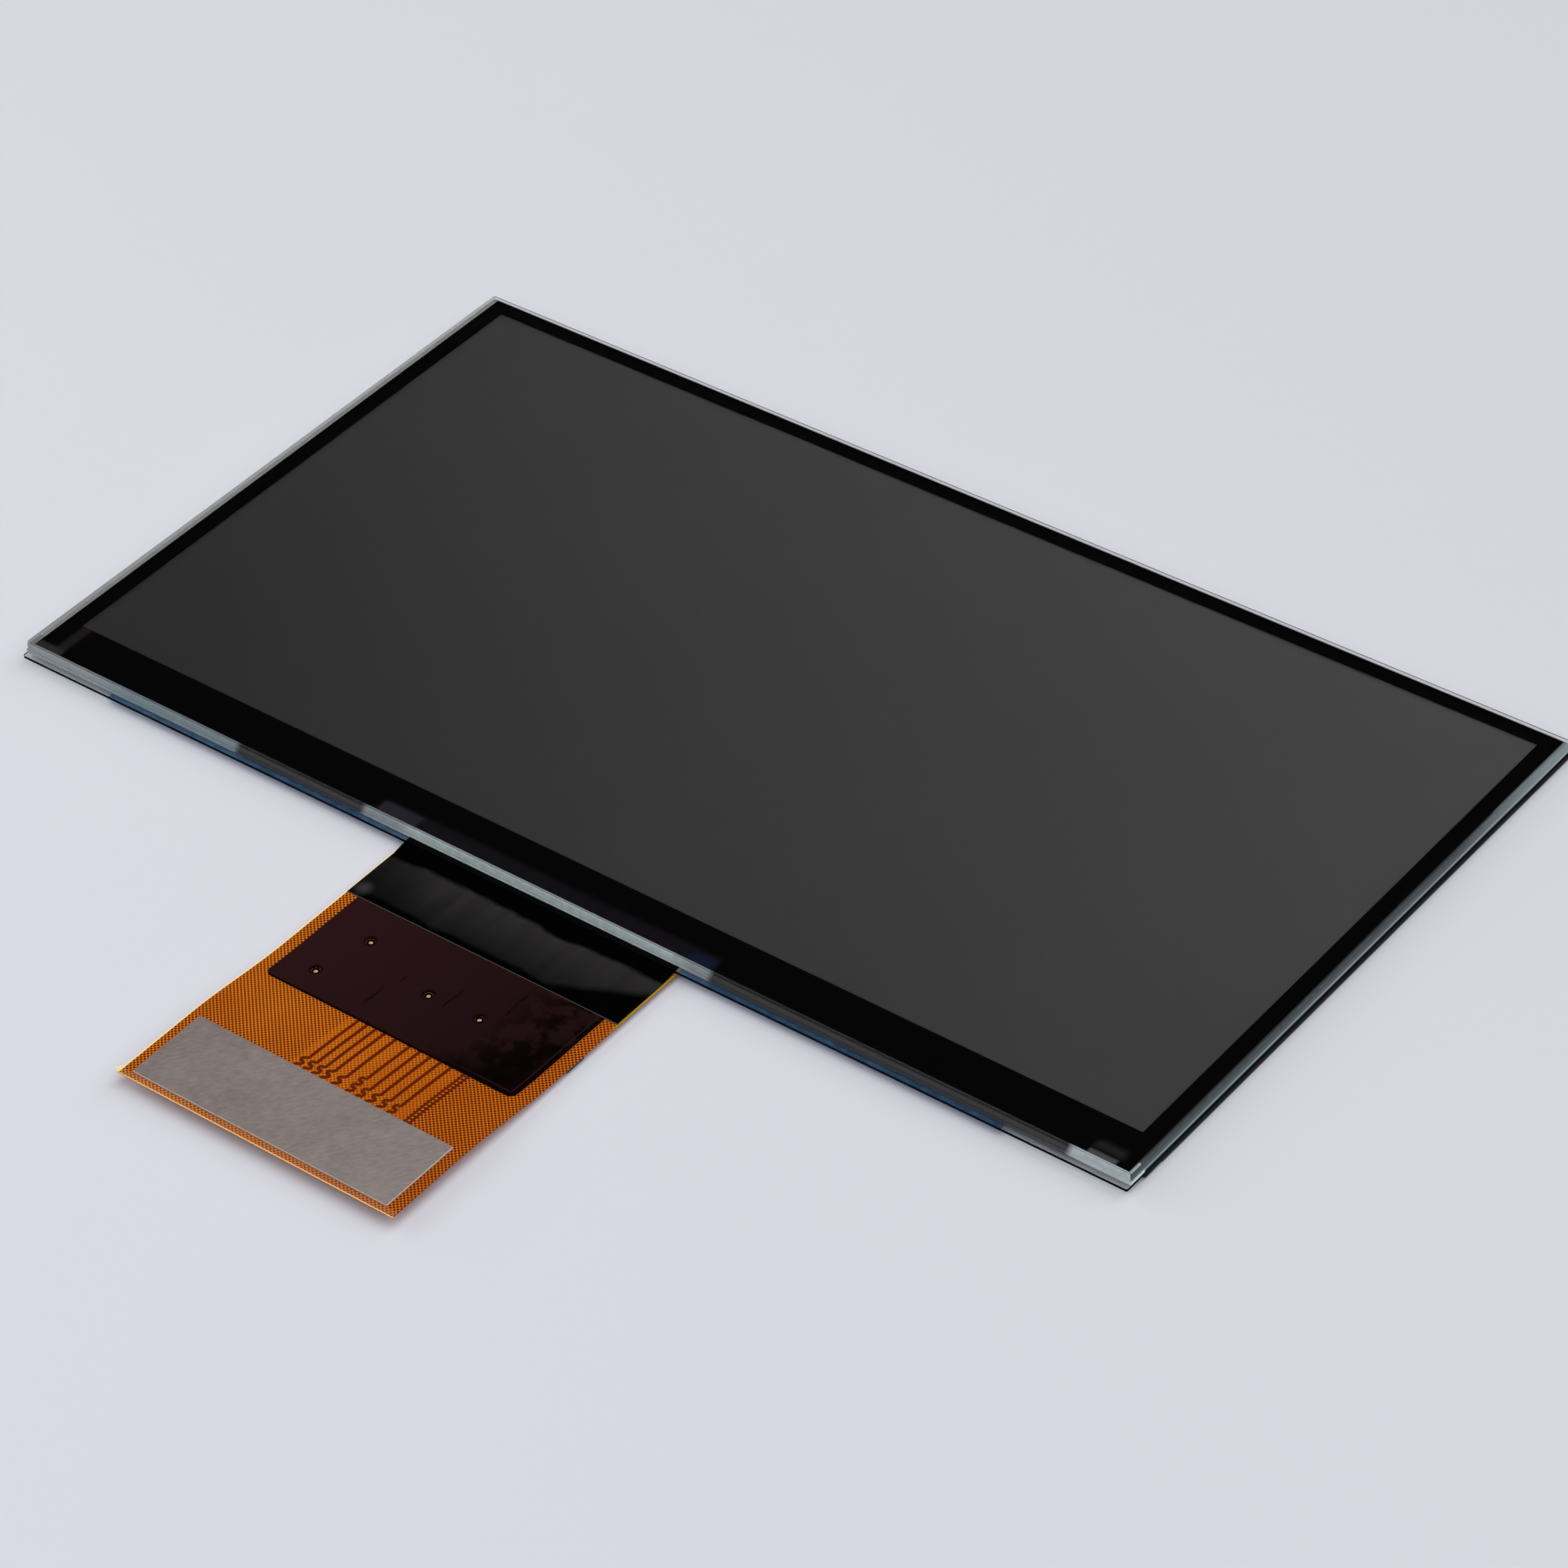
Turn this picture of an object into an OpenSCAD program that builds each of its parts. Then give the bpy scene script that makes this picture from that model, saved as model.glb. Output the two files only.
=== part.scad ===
// Masking screen of a resin printer: a bonded liquid crystal panel under a cover
// glass with a black printed border, and a flat flexible tail with its plug.
// Frame: origin at the centre of the rear face, X along the long side, the tail
// leaves towards -Y, Z up through the layers. All sizes are millimetres.

/* [Window and border] */
// Width of the clear window, along the long side
window_w = 154.7; // [150:0.1:220]
// Depth of the clear window
window_d = 77.6; // [60:0.1:140]
// Width of the black border at each short end
border_side = 2.35; // [1.5:0.05:12]
// Width of the black border along the back
border_back = 2.1; // [1:0.1:12]
// Width of the black border along the tail side
border_front = 5.75; // [4.5:0.05:20]
// Thickness of the printed ink
print_t = 0.02; // [0.01:0.01:0.04]

/* [Cover glass] */
// Thickness of the cover glass
cover_t = 1.1; // [0.7:0.1:2]
// Clear rim outside the print at each short end
rim_side = 0.7; // [0.2:0.05:1.5]
// Clear rim outside the print along the back
rim_back = 0.15; // [0.1:0.05:1.5]
// Clear rim outside the print along the tail side
rim_front = 0.8; // [0.3:0.05:1.6]
// Ground chamfer on the edges of the cover glass
cover_chamfer = 0.1; // [0.05:0.01:0.2]
// Cut across the corners of the cover glass
cover_corner = 0.3; // [0.1:0.05:1]

/* [Panel layers] */
// Thickness of the clear adhesive sheet under the cover glass
adhesive_t = 0.25; // [0.1:0.05:0.5]
// Thickness of the upper polarizer
front_polarizer_t = 0.18; // [0.1:0.01:0.3]
// Thickness of the array glass, the upper panel glass, which carries the circuits
array_glass_t = 0.4; // [0.3:0.05:0.7]
// Height of the liquid crystal layer, drawn thicker than the real few microns
cell_gap = 0.02; // [0.01:0.005:0.05]
// Thickness of the cell's front glass, the lower panel glass: the cell lies face down
front_glass_t = 0.5; // [0.35:0.05:0.7]
// Thickness of the lower polarizer
rear_polarizer_t = 0.25; // [0.1:0.01:0.3]
// Setback of the panel behind the cover glass at the sides and back
panel_inset = 0; // [0:0.01:0.4]
// Setback of the polarizers and the adhesive behind the panel glass
film_inset = 0.05; // [0.05:0.05:0.6]
// Width of the seal around the liquid crystal
seal_w = 1; // [0.6:0.1:2]
// Setback of the seal behind the edge of the lower panel glass
seal_inset = 0.3; // [0.1:0.05:1]

/* [Bonding ledge] */
// Depth of the ledge of the array glass in front of the lower glass
ledge_d = 3.25; // [3.2:0.05:6]
// Reach of the array glass in front of the cover glass
ledge_lip = 0.7; // [0.4:0.05:1]
// Distance from the ledge edge to the lower polarizer
rear_polarizer_setback = 6.55; // [4:0.05:12]
// Length of a driver chip
chip_l = 16.6; // [10:0.1:18]
// Depth of a driver chip
chip_d = 1.1; // [0.7:0.05:1.3]
// Height of a driver chip
chip_t = 0.3; // [0.2:0.05:0.4]
// Gap between a driver chip and the lower glass
chip_gap = 0.4; // [0.2:0.05:0.6]
// Thickness of the black shading tape under the chips
shade_t = 0.08; // [0.05:0.01:0.15]
// Width of the tape's foot in front of the chip
shade_foot = 0.4; // [0.2:0.05:0.5]
// Gap between the tail and the shading tape on its left
shade_gap_left = 6.5; // [4:0.1:12]
// Length of the shading tape on the left
shade_l_left = 19.6; // [18.6:0.1:24]
// Gap between the tail and the shading tape on its right
shade_gap_right = 4.4; // [3:0.1:5.5]
// Length of the shading tape on the right, under a pair of chips
shade_l_right = 48.5; // [44:0.1:49.5]
// Length of the sealant coat on the left of the tail
sealant_l_left = 46.6; // [30:0.1:52]
// Length of the sealant coat on the right of the tail
sealant_l_right = 44; // [30:0.1:52]
// Depth of the sealant coat under the ledge, from the ledge edge
sealant_d = 0.8; // [0.5:0.05:0.85]
// Height of the sealant coat at its middle
sealant_h = 0.12; // [0.06:0.01:0.2]

/* [Tail] */
// Width of the flexible tail
tail_w = 39.8; // [36:0.1:44]
// Length of the tail from the ledge edge to its far end
tail_l = 47.55; // [45:0.05:90]
// Depth of the bonded strip under the ledge
bond_d = 1.6; // [1:0.05:2]
// Thickness of the bonding film between the tail and the ledge
bond_t = 0.03; // [0.02:0.01:0.05]
// Thickness of the tail's base film
base_t = 0.05; // [0.03:0.01:0.1]
// Thickness of the tail's copper
copper_t = 0.03; // [0.02:0.01:0.05]
// Thickness of the tail's cover film over the copper
coverlay_t = 0.05; // [0.03:0.01:0.1]
// Gap between the ledge edge and the tail's cover film
coverlay_gap = 0.1; // [0.05:0.05:0.5]
// Length over which the tail rises to the height of its plug
lift_run = 15; // [12:0.5:24]
// Length of the black tape from the ledge edge
bond_tape_l = 10.2; // [6:0.05:12]
// Length over which the black tape comes down from the ledge to the tail
bond_tape_slope = 2.2; // [1:0.1:4]
// Thickness of the black tape
bond_tape_t = 0.06; // [0.04:0.01:0.1]
// Setback of the black tape from the edges of the tail
bond_tape_inset = 0.2; // [0.1:0.05:1]
// Length of the dark shielding film
shield_l = 15.7; // [12:0.1:17]
// Thickness of the dark shielding film
shield_t = 0.08; // [0.05:0.01:0.15]
// Setback of the shielding film from the edges of the tail
shield_inset = 1.9; // [1:0.1:3]
// Radius of the shielding film's front corners
shield_r = 1; // [0.5:0.1:2]
// Diameter of the openings in the shielding film
shield_hole = 1.2; // [0.95:0.05:1.6]
// Diameter of the plated pads in those openings
pad_d = 0.85; // [0.5:0.05:0.9]
// First opening: distance left of the tail's middle
opening_1_x = 11.7; // [8:0.1:15]
// First opening: distance from the black tape
opening_1_y = 5; // [2:0.1:6]
// Second opening: distance left of the tail's middle
opening_2_x = 13.6; // [8:0.1:15]
// Second opening: distance from the far edge of the shielding film
opening_2_y = 3.6; // [2:0.1:6]
// Third opening: distance left of the tail's middle
opening_3_x = 0.5; // [0:0.1:3]
// Third opening: distance from the black tape
opening_3_y = 8.1; // [4:0.1:9]
// Fourth opening: distance right of the tail's middle
opening_4_x = 6.7; // [4:0.1:12]
// Fourth opening: distance from the black tape
opening_4_y = 7.9; // [4:0.1:9]
// How far the lifted far left corner of the tail reaches out
ear_reach = 0.6; // [0.2:0.1:1]
// Length of the lifted corner along the tail's edges
ear_l = 1.3; // [0.8:0.1:1.6]

/* [Tail circuit] */
// Number of traces in the left group
left_count = 4; // [2:1:6]
// Spacing of the traces in the left group
left_pitch = 1.26; // [1.2:0.01:1.6]
// Distance of the left group's last trace from the tail's middle, to the left
left_end = 0.25; // [0.1:0.05:0.6]
// Distance of the lone trace from the tail's middle, to the right
lone_x = 1.4; // [1.4:0.1:2]
// Number of traces in the right group
right_count = 5; // [2:1:5]
// Spacing of the traces in the right group
right_pitch = 1.49; // [1.3:0.01:1.6]
// Distance of the right group's first trace from the tail's middle
right_start = 3.4; // [3.4:0.05:4]
// Width of a trace
trace_w = 0.44; // [0.2:0.02:0.5]
// Gap between the last single trace and the pair beside it
pair_gap = 1.9; // [1.4:0.1:2.2]
// Spacing of the pair
pair_pitch = 0.6; // [0.4:0.05:0.7]
// Width of a trace of the pair
pair_w = 0.34; // [0.14:0.02:0.36]
// Radius of the bends in a trace's wriggle
bend_r = 0.3; // [0.26:0.01:0.32]
// Distance of the wriggles from the stiffener
wriggle_gap = 0.2; // [0.1:0.05:1]
// Height of the ridge that a trace raises in the cover film
trace_relief = 0.015; // [0.01:0.005:0.03]
// Spacing of the contact fingers in the bonded strip
finger_pitch = 0.8; // [0.6:0.05:1.2]
// Width of a contact finger
finger_w = 0.4; // [0.2:0.05:0.5]
// Setback of the outer fingers from the sides of the tail
finger_inset = 1; // [0.5:0.1:2]

/* [Stiffener and plug] */
// Depth of the steel stiffener
stiffener_d = 10.8; // [8:0.1:12]
// Thickness of the steel stiffener
stiffener_t = 0.2; // [0.1:0.05:0.4]
// Thickness of the glue under the stiffener
glue_t = 0.05; // [0.03:0.01:0.1]
// Setback of the stiffener from the sides of the tail
stiffener_inset = 1.55; // [1:0.05:3]
// Setback of the stiffener from the tail's far end
stiffener_end = 0.9; // [0.5:0.05:2]
// Radius of the stiffener's corners
stiffener_r = 0.2; // [0.1:0.05:1]
// Contacts in one row of the plug
contacts = 30; // [10:1:34]
// Spacing of the contacts
contact_pitch = 0.5; // [0.4:0.05:0.55]
// Width of a contact
contact_w = 0.2; // [0.12:0.01:0.25]
// Thickness of a contact's strip
contact_t = 0.12; // [0.08:0.01:0.18]
// Length of the plug's housing beyond its outer contacts, at each end
plug_end = 1.6; // [1.2:0.1:3]
// Depth of the plug's housing
plug_d = 4.2; // [3.4:0.1:5]
// Height of the plug below the tail
plug_h = 1.5; // [1:0.1:2]
// Wall of the plug's housing
plug_wall = 0.55; // [0.4:0.05:0.7]
// Floor of the plug's housing under the tail
plug_floor = 0.4; // [0.3:0.05:0.6]
// Width of the tongue in the middle of the plug
tongue_d = 0.9; // [0.6:0.1:1.2]
// Clearance between the tongue's tip and the housing's mouth
tongue_short = 0.2; // [0.1:0.05:0.4]
// Length of a contact's foot beside the housing
foot_l = 0.5; // [0.3:0.05:0.8]

/* [Tail components] */
// Length of the memory chip, along the tail
memory_l = 2.8; // [2:0.1:4]
// Width of the memory chip
memory_w = 2; // [1.5:0.1:3]
// Height of the small components under the tail
component_h = 0.38; // [0.3:0.02:0.4]
// Setback of the memory chip from the tail's right edge
memory_inset = 0.1; // [0.05:0.05:1]
// Distance of the memory chip from the ledge edge
memory_y = 16; // [8:0.1:18]
// Number of ceramic capacitors
cap_count = 8; // [2:1:10]
// Length of a capacitor
cap_l = 1; // [0.6:0.1:1.6]
// Width of a capacitor
cap_w = 0.5; // [0.3:0.05:0.8]
// Length of a capacitor's metal end
cap_end = 0.25; // [0.15:0.05:0.28]
// Spacing of the capacitors
cap_pitch = 2.4; // [1.8:0.1:3]
// Distance of the row of capacitors from the ledge edge
cap_y = 13.6; // [8:0.1:18]

/* [Hidden] */
$fn = 32;
// Overshoot of a cutting shape past the face that it cuts
cut = 1;
// Steps in the rise of the tail
lift_steps = 12;
// Outline of the cover glass and of the print
print_w = window_w + 2*border_side;
cover_w = print_w + 2*rim_side;
cover_d = window_d + border_back + border_front + rim_back + rim_front;
cover_front = -cover_d/2;
cover_back = cover_d/2;
print_front = cover_front + rim_front;
print_back = cover_back - rim_back;
window_back = print_back - border_back;
window_front = window_back - window_d;
// Outline of the panel glass
panel_w = cover_w - 2*panel_inset;
panel_back = cover_back - panel_inset;
ledge_front = cover_front - ledge_lip;
glass_front = ledge_front + ledge_d;
// Heights of the layers, from the rear face up
front_glass_z = rear_polarizer_t;
cell_z = front_glass_z + front_glass_t;
array_z = cell_z + cell_gap;
front_polarizer_z = array_z + array_glass_t;
adhesive_z = front_polarizer_z + front_polarizer_t;
cover_z = adhesive_z + adhesive_t;
print_z = cover_z - print_t;
// Driver chips and their tape
chip_back = glass_front - chip_gap;
chip_front = chip_back - chip_d;
shade_front = chip_front - chip_t - shade_foot;
shade_x = [-tail_w/2 - shade_gap_left - shade_l_left, tail_w/2 + shade_gap_right];
shade_l = [shade_l_left, shade_l_right];
chips_under = [1, 2];
// Heights and places on the tail
film_t = base_t + copper_t + coverlay_t;
bond_back = ledge_front + bond_d;
tail_end = ledge_front - tail_l;
coverlay_back = ledge_front - coverlay_gap;
tape_front = ledge_front - bond_tape_l;
shield_front = tape_front - shield_l;
stiffener_front = tail_end + stiffener_end;
stiffener_back = stiffener_front + stiffener_d;
stiffener_w = tail_w - 2*stiffener_inset;
shield_w = tail_w - 2*shield_inset;
tail_low = array_z - bond_t - copper_t - base_t;
lift_end = stiffener_back;
lift_start = lift_end + lift_run;
plug_y = (stiffener_front + stiffener_back)/2;
plug_w = (contacts - 1)*contact_pitch + 2*plug_end;
// Back end of the traces, under the shielding film
trace_back = shield_front + shield_r;
// Height of a shape that is cut or kept in plan on the tail
tall = 2*plug_h;
// Openings in the shielding film
shield_holes = [
  [-opening_1_x, tape_front - opening_1_y], [-opening_2_x, shield_front + opening_2_y],
  [-opening_3_x, tape_front - opening_3_y], [opening_4_x, tape_front - opening_4_y]
];
// Places of the single traces across the tail, from left to right
trace_xs = concat(
  [for (i = [left_count - 1:-1:0]) -left_end - i*left_pitch],
  [lone_x],
  [for (i = [0:right_count - 1]) right_start + i*right_pitch]
);
pair_x = right_start + (right_count - 1)*right_pitch + pair_gap;
// The first trace of the right group, which wriggles twice as far
long_trace = left_count + 1;

// Share of the tail's rise after a share of its run, on a smooth curve
function ease(u) = u <= 0 ? 0 : u >= 1 ? 1 : u*u*(3 - 2*u);
// The same along the straight pieces that the rise is drawn in
function rise(step) =
  let (i = floor(step), share = step - i)
  ease(i/lift_steps)*(1 - share) + ease((i + 1)/lift_steps)*share;
// Height of the underside of the tail at a place along it
function tail_z(y) =
  tail_low + (plug_h - tail_low)*rise(lift_steps*(lift_start - y)/lift_run);
// Places between two ends where the tail's side view has a corner
function corners(y_a, y_b) = concat(
  [y_a],
  [for (i = [0:lift_steps]) let (y = lift_start - lift_run*i/lift_steps) if (y < y_a && y > y_b) y],
  [y_b]
);

// Box from its low corner to its high corner
module block(low, high) {
  translate(low) cube(high - low);
}

// Sheet centred across the panel, between two places along it and two heights
module sheet(w, y_a, y_b, z_a, z_b) {
  block([-w/2, y_a, z_a], [w/2, y_b, z_b]);
}

// Strip that follows the tail, between two heights above its underside
module strip(w, y_a, y_b, low, high) {
  ys = corners(y_a, y_b);
  under = [for (y = ys) [y, tail_z(y) + low]];
  over = [for (i = [len(ys) - 1:-1:0]) [ys[i], tail_z(ys[i]) + high]];
  translate([-w/2, 0, 0])
    rotate([90, 0, 90])
      linear_extrude(w) polygon(concat(under, over));
}

// Rectangle with round corners, centred across, from y_a back to y_b front
module round_outline(w, y_a, y_b, r) {
  for (x = [-w/2 + r, w/2 - r], y = [y_a - r, y_b + r])
    translate([x, y]) circle(r);
  translate([-w/2, y_b + r]) square([w, y_a - y_b - 2*r]);
  translate([-w/2 + r, y_b]) square([w - 2*r, y_a - y_b]);
}

// Side view of a plate with chamfered edges, centred on its length
module chamfered_side(l, t, c) {
  polygon([
    [-l/2 + c, 0], [l/2 - c, 0], [l/2, c], [l/2, t - c],
    [l/2 - c, t], [-l/2 + c, t], [-l/2, t - c], [-l/2, c]
  ]);
}

// Plan of the cover glass, with its corners cut
module cover_plan() {
  x = cover_w/2;
  y = cover_d/2;
  c = cover_corner;
  polygon([
    [-x + c, -y], [x - c, -y], [x, -y + c], [x, y - c],
    [x - c, y], [-x + c, y], [-x, y - c], [-x, -y + c]
  ]);
}

module cover_glass() {
  color("lightcyan", 0.5)
    translate([0, 0, cover_z])
      intersection() {
        linear_extrude(cover_t) cover_plan();
        translate([0, cover_d/2, 0])
          rotate([90, 0, 0])
            linear_extrude(cover_d) chamfered_side(cover_w, cover_t, cover_chamfer);
        translate([-cover_w/2, 0, 0])
          rotate([90, 0, 90])
            linear_extrude(cover_w) chamfered_side(cover_d, cover_t, cover_chamfer);
      }
}

module border_print() {
  color("black")
    difference() {
      sheet(print_w, print_front, print_back, print_z, cover_z);
      sheet(window_w, window_front, window_back, print_z - cut, cover_z + cut);
    }
}

module optical_adhesive() {
  color("aliceblue", 0.4)
    difference() {
      sheet(panel_w - 2*film_inset, glass_front, panel_back - film_inset, adhesive_z, cover_z);
      border_print();
    }
}

module front_polarizer() {
  color("dimgray")
    sheet(panel_w - 2*film_inset, glass_front + film_inset, panel_back - film_inset,
          front_polarizer_z, adhesive_z);
}

module front_glass() {
  color("darkslategray")
    sheet(panel_w, glass_front, panel_back, front_glass_z, cell_z);
}

// Sheet between the panel glasses, set back from their edges
module seal_sheet(inset, z_a, z_b) {
  sheet(panel_w - 2*inset, glass_front + inset, panel_back - inset, z_a, z_b);
}

module cell_seal() {
  color("silver")
    difference() {
      seal_sheet(seal_inset, cell_z, array_z);
      seal_sheet(seal_inset + seal_w, cell_z - cut, array_z + cut);
    }
}

module liquid_crystal() {
  color("slategray")
    seal_sheet(seal_inset + seal_w, cell_z, array_z);
}

module array_glass() {
  color("darkslategray")
    sheet(panel_w, ledge_front, panel_back, array_z, front_polarizer_z);
}

module rear_polarizer() {
  color("black")
    sheet(panel_w - 2*film_inset, ledge_front + rear_polarizer_setback, panel_back - film_inset,
          0, front_glass_z);
}

// Side view of the shading tape, drawn from the underside of a chip up to the ledge
module shade_profile() {
  low = array_z - chip_t;
  polygon([
    [chip_back, low], [chip_front, low], [chip_front - chip_t, array_z], [shade_front, array_z],
    [shade_front, array_z - shade_t], [chip_front - chip_t, array_z - shade_t],
    [chip_front, low - shade_t], [chip_back, low - shade_t]
  ]);
}

module shade_tapes() {
  color("black")
    for (i = [0, 1])
      translate([shade_x[i], 0, 0])
        rotate([90, 0, 90])
          linear_extrude(shade_l[i]) shade_profile();
}

module driver_chips() {
  color("dimgray")
    for (i = [0, 1], k = [0:chips_under[i] - 1]) {
      share = shade_l[i]/chips_under[i];
      x = shade_x[i] + (k + 0.5)*share;
      block([x - chip_l/2, chip_front, array_z - chip_t], [x + chip_l/2, chip_back, array_z]);
    }
}

// Clear resin that fills the gap between the ledge and the cover glass
module ledge_filler() {
  color("honeydew", 0.5)
    difference() {
      sheet(panel_w, cover_front, glass_front, front_polarizer_z, cover_z);
      border_print();
    }
}

// Coat of sealant under the edge of the ledge, beside the tail
module edge_sealant() {
  starts = [-tail_w/2 - sealant_l_left, tail_w/2];
  lengths = [sealant_l_left, sealant_l_right];
  round_r = (sealant_d*sealant_d/4 + sealant_h*sealant_h)/(2*sealant_h);
  color("steelblue")
    for (i = [0, 1])
      translate([starts[i], 0, 0])
        rotate([90, 0, 90])
          linear_extrude(lengths[i])
            intersection() {
              translate([ledge_front + sealant_d/2, array_z - sealant_h + round_r]) circle(round_r);
              translate([ledge_front, array_z - sealant_h]) square([sealant_d, sealant_h]);
            }
}

module bond_strip() {
  color("silver")
    sheet(tail_w, ledge_front, bond_back, array_z - bond_t, array_z);
}

// Lifted corner at the far left end of the tail, between two heights above its underside
module ear(low, high) {
  translate([-tail_w/2, tail_end, plug_h + low])
    linear_extrude(high - low)
      polygon([[0, ear_l], [-ear_reach, ear_l/3], [0, 0]]);
}

module flex_base() {
  color("darkorange") {
    strip(tail_w, bond_back, tail_end, 0, base_t);
    ear(0, base_t);
  }
}

// What lies in a box of a ring about the middle, in plan
module ring_part(r, w, box_low, box_high) {
  intersection() {
    difference() {
      circle(r + w/2);
      circle(r - w/2);
    }
    translate(box_low) square(box_high - box_low);
  }
}

// Plan of one trace: straight, then loops to the left and back, and on under the stiffener
module trace_plan(x, loops) {
  r = bend_r;
  w = trace_w;
  far = r + w;
  wriggle_low = stiffener_back + wriggle_gap;
  wriggle_top = wriggle_low + (4*loops + 2)*r;
  translate([x - w/2, wriggle_top]) square([w, trace_back - wriggle_top]);
  translate([x - r, wriggle_top]) ring_part(r, w, [0, -far], [far, 0]);
  for (k = [1:loops])
    translate([x - r, wriggle_top - 4*k*r]) {
      translate([0, 2*r]) ring_part(r, w, [-far, -far], [0, far]);
      ring_part(r, w, [0, -far], [far, far]);
    }
  translate([x - r, wriggle_low]) ring_part(r, w, [-far, 0], [0, far]);
  translate([x - 2*r - w/2, plug_y]) square([w, wriggle_low - plug_y]);
}

// Plan of all the traces
module traces_plan() {
  for (i = [0:len(trace_xs) - 1])
    trace_plan(trace_xs[i], i == long_trace ? 2 : 1);
  for (x = [pair_x, pair_x + pair_pitch])
    translate([x - pair_w/2, plug_y]) square([pair_w, trace_back - plug_y]);
}

// Plan of the contact fingers in the bonded strip
module fingers_plan() {
  first = -tail_w/2 + finger_inset;
  for (x = [first:finger_pitch:-first - finger_w])
    translate([x, coverlay_back]) square([finger_w, bond_back - coverlay_back]);
}

module flex_copper() {
  color("sienna")
    intersection() {
      strip(tail_w, bond_back, tail_end, base_t, base_t + copper_t);
      linear_extrude(tall) {
        traces_plan();
        fingers_plan();
      }
    }
}

// Plan of the openings in the shielding film and the cover film
module holes_plan(d) {
  for (p = shield_holes)
    translate(p) circle(d/2);
}

module flex_coverlay() {
  color("orange")
    difference() {
      union() {
        strip(tail_w, coverlay_back, tail_end, base_t, film_t);
        ear(base_t, film_t);
        intersection() {
          strip(tail_w, shield_front, stiffener_back, base_t + copper_t, film_t + trace_relief);
          linear_extrude(tall) traces_plan();
        }
      }
      flex_copper();
      linear_extrude(tall) holes_plan(shield_hole);
    }
}

module ground_pads() {
  color("gold")
    intersection() {
      strip(tail_w, tape_front, shield_front, base_t, film_t + shield_t);
      linear_extrude(tall) holes_plan(pad_d);
    }
}

// Black tape: flat on the lip of the ledge, down over its edge and flat on the tail
module bond_tape() {
  w = tail_w - 2*bond_tape_inset;
  tail_top = tail_low + film_t;
  ys = [cover_front, ledge_front, ledge_front - bond_tape_slope, tape_front];
  zs = [front_polarizer_z, front_polarizer_z, tail_top, tail_top];
  under = [for (i = [0:3]) [ys[i], zs[i]]];
  over = [for (i = [3:-1:0]) [ys[i], zs[i] + bond_tape_t]];
  color("black")
    translate([-w/2, 0, 0])
      rotate([90, 0, 90])
        linear_extrude(w) polygon(concat(under, over));
}

module shield_film() {
  color("#2a1416")
    intersection() {
      strip(shield_w, tape_front, shield_front, film_t, film_t + shield_t);
      linear_extrude(tall)
        difference() {
          round_outline(shield_w, tape_front + shield_r + cut, shield_front, shield_r);
          holes_plan(shield_hole);
        }
    }
}

// Plate on the tail over the plug, between two heights above the tail's underside
module plug_plate(low, high) {
  translate([0, 0, plug_h + low])
    linear_extrude(high - low)
      round_outline(stiffener_w, stiffener_back, stiffener_front, stiffener_r);
}

module stiffener_glue() {
  color("lightyellow")
    plug_plate(film_t, film_t + glue_t);
}

module stiffener_plate() {
  color("gray")
    plug_plate(film_t + glue_t, film_t + glue_t + stiffener_t);
}

// Housing of the plug, mouth down, with a tongue in the middle of its mouth
module plug_housing() {
  mouth_d = plug_d - 2*plug_wall;
  mouth_w = plug_w - 2*plug_wall;
  color("ivory")
    translate([0, plug_y, 0]) {
      difference() {
        block([-plug_w/2, -plug_d/2, 0], [plug_w/2, plug_d/2, plug_h]);
        block([-mouth_w/2, -mouth_d/2, -cut], [mouth_w/2, mouth_d/2, plug_h - plug_floor]);
        contact_rows(plug_h + cut);
      }
      block([-mouth_w/2 + plug_wall, -tongue_d/2, tongue_short],
            [mouth_w/2 - plug_wall, tongue_d/2, plug_h - plug_floor]);
    }
}

// Side view of one bent contact: a foot on the tail, a crossing through the housing
// and a blade along the wall of the mouth
module contact_side(top) {
  inner = plug_d/2 - plug_wall;
  outer = plug_d/2 + foot_l;
  polygon([
    [outer, top], [outer, plug_h - contact_t], [inner, plug_h - contact_t],
    [inner, tongue_short], [inner - contact_t, tongue_short], [inner - contact_t, top]
  ]);
}

// Both rows of contacts about the middle of the plug, each up to a height
module contact_rows(top) {
  for (side = [0, 180], i = [0:contacts - 1])
    rotate(side)
      translate([(i - (contacts - 1)/2)*contact_pitch - contact_w/2, 0, 0])
        rotate([90, 0, 90])
          linear_extrude(contact_w) contact_side(top);
}

module plug_contacts() {
  color("gold")
    translate([0, plug_y, 0]) contact_rows(plug_h);
}

// Holding clips at the two ends of the plug's housing
module plug_clips() {
  clip_w = plug_d - 2*plug_wall;
  color("silver")
    for (side = [-1, 1])
      translate([side*(plug_w/2 + contact_t/2), plug_y, 0])
        block([-contact_t/2, -clip_w/2, plug_floor], [contact_t/2, clip_w/2, plug_h]);
}

module memory_chip() {
  x = tail_w/2 - memory_inset - memory_w;
  y = ledge_front - memory_y;
  color("black")
    translate([x, y, tail_z(y)])
      block([0, -memory_l, -component_h], [memory_w, 0, 0]);
}

// Box under the tail at a place along the row of capacitors
module cap_block(x, l) {
  y = ledge_front - cap_y;
  translate([x, y, tail_z(y)])
    block([-l/2, -cap_w, -component_h], [l/2, 0, 0]);
}

// Place of one capacitor in the row
function cap_x(i) = (i - (cap_count - 1)/2)*cap_pitch;

module chip_capacitors() {
  color("peru")
    for (i = [0:cap_count - 1])
      cap_block(cap_x(i), cap_l - 2*cap_end);
}

module capacitor_ends() {
  color("silver")
    for (i = [0:cap_count - 1], side = [-1, 1])
      cap_block(cap_x(i) + side*(cap_l - cap_end)/2, cap_end);
}

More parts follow.
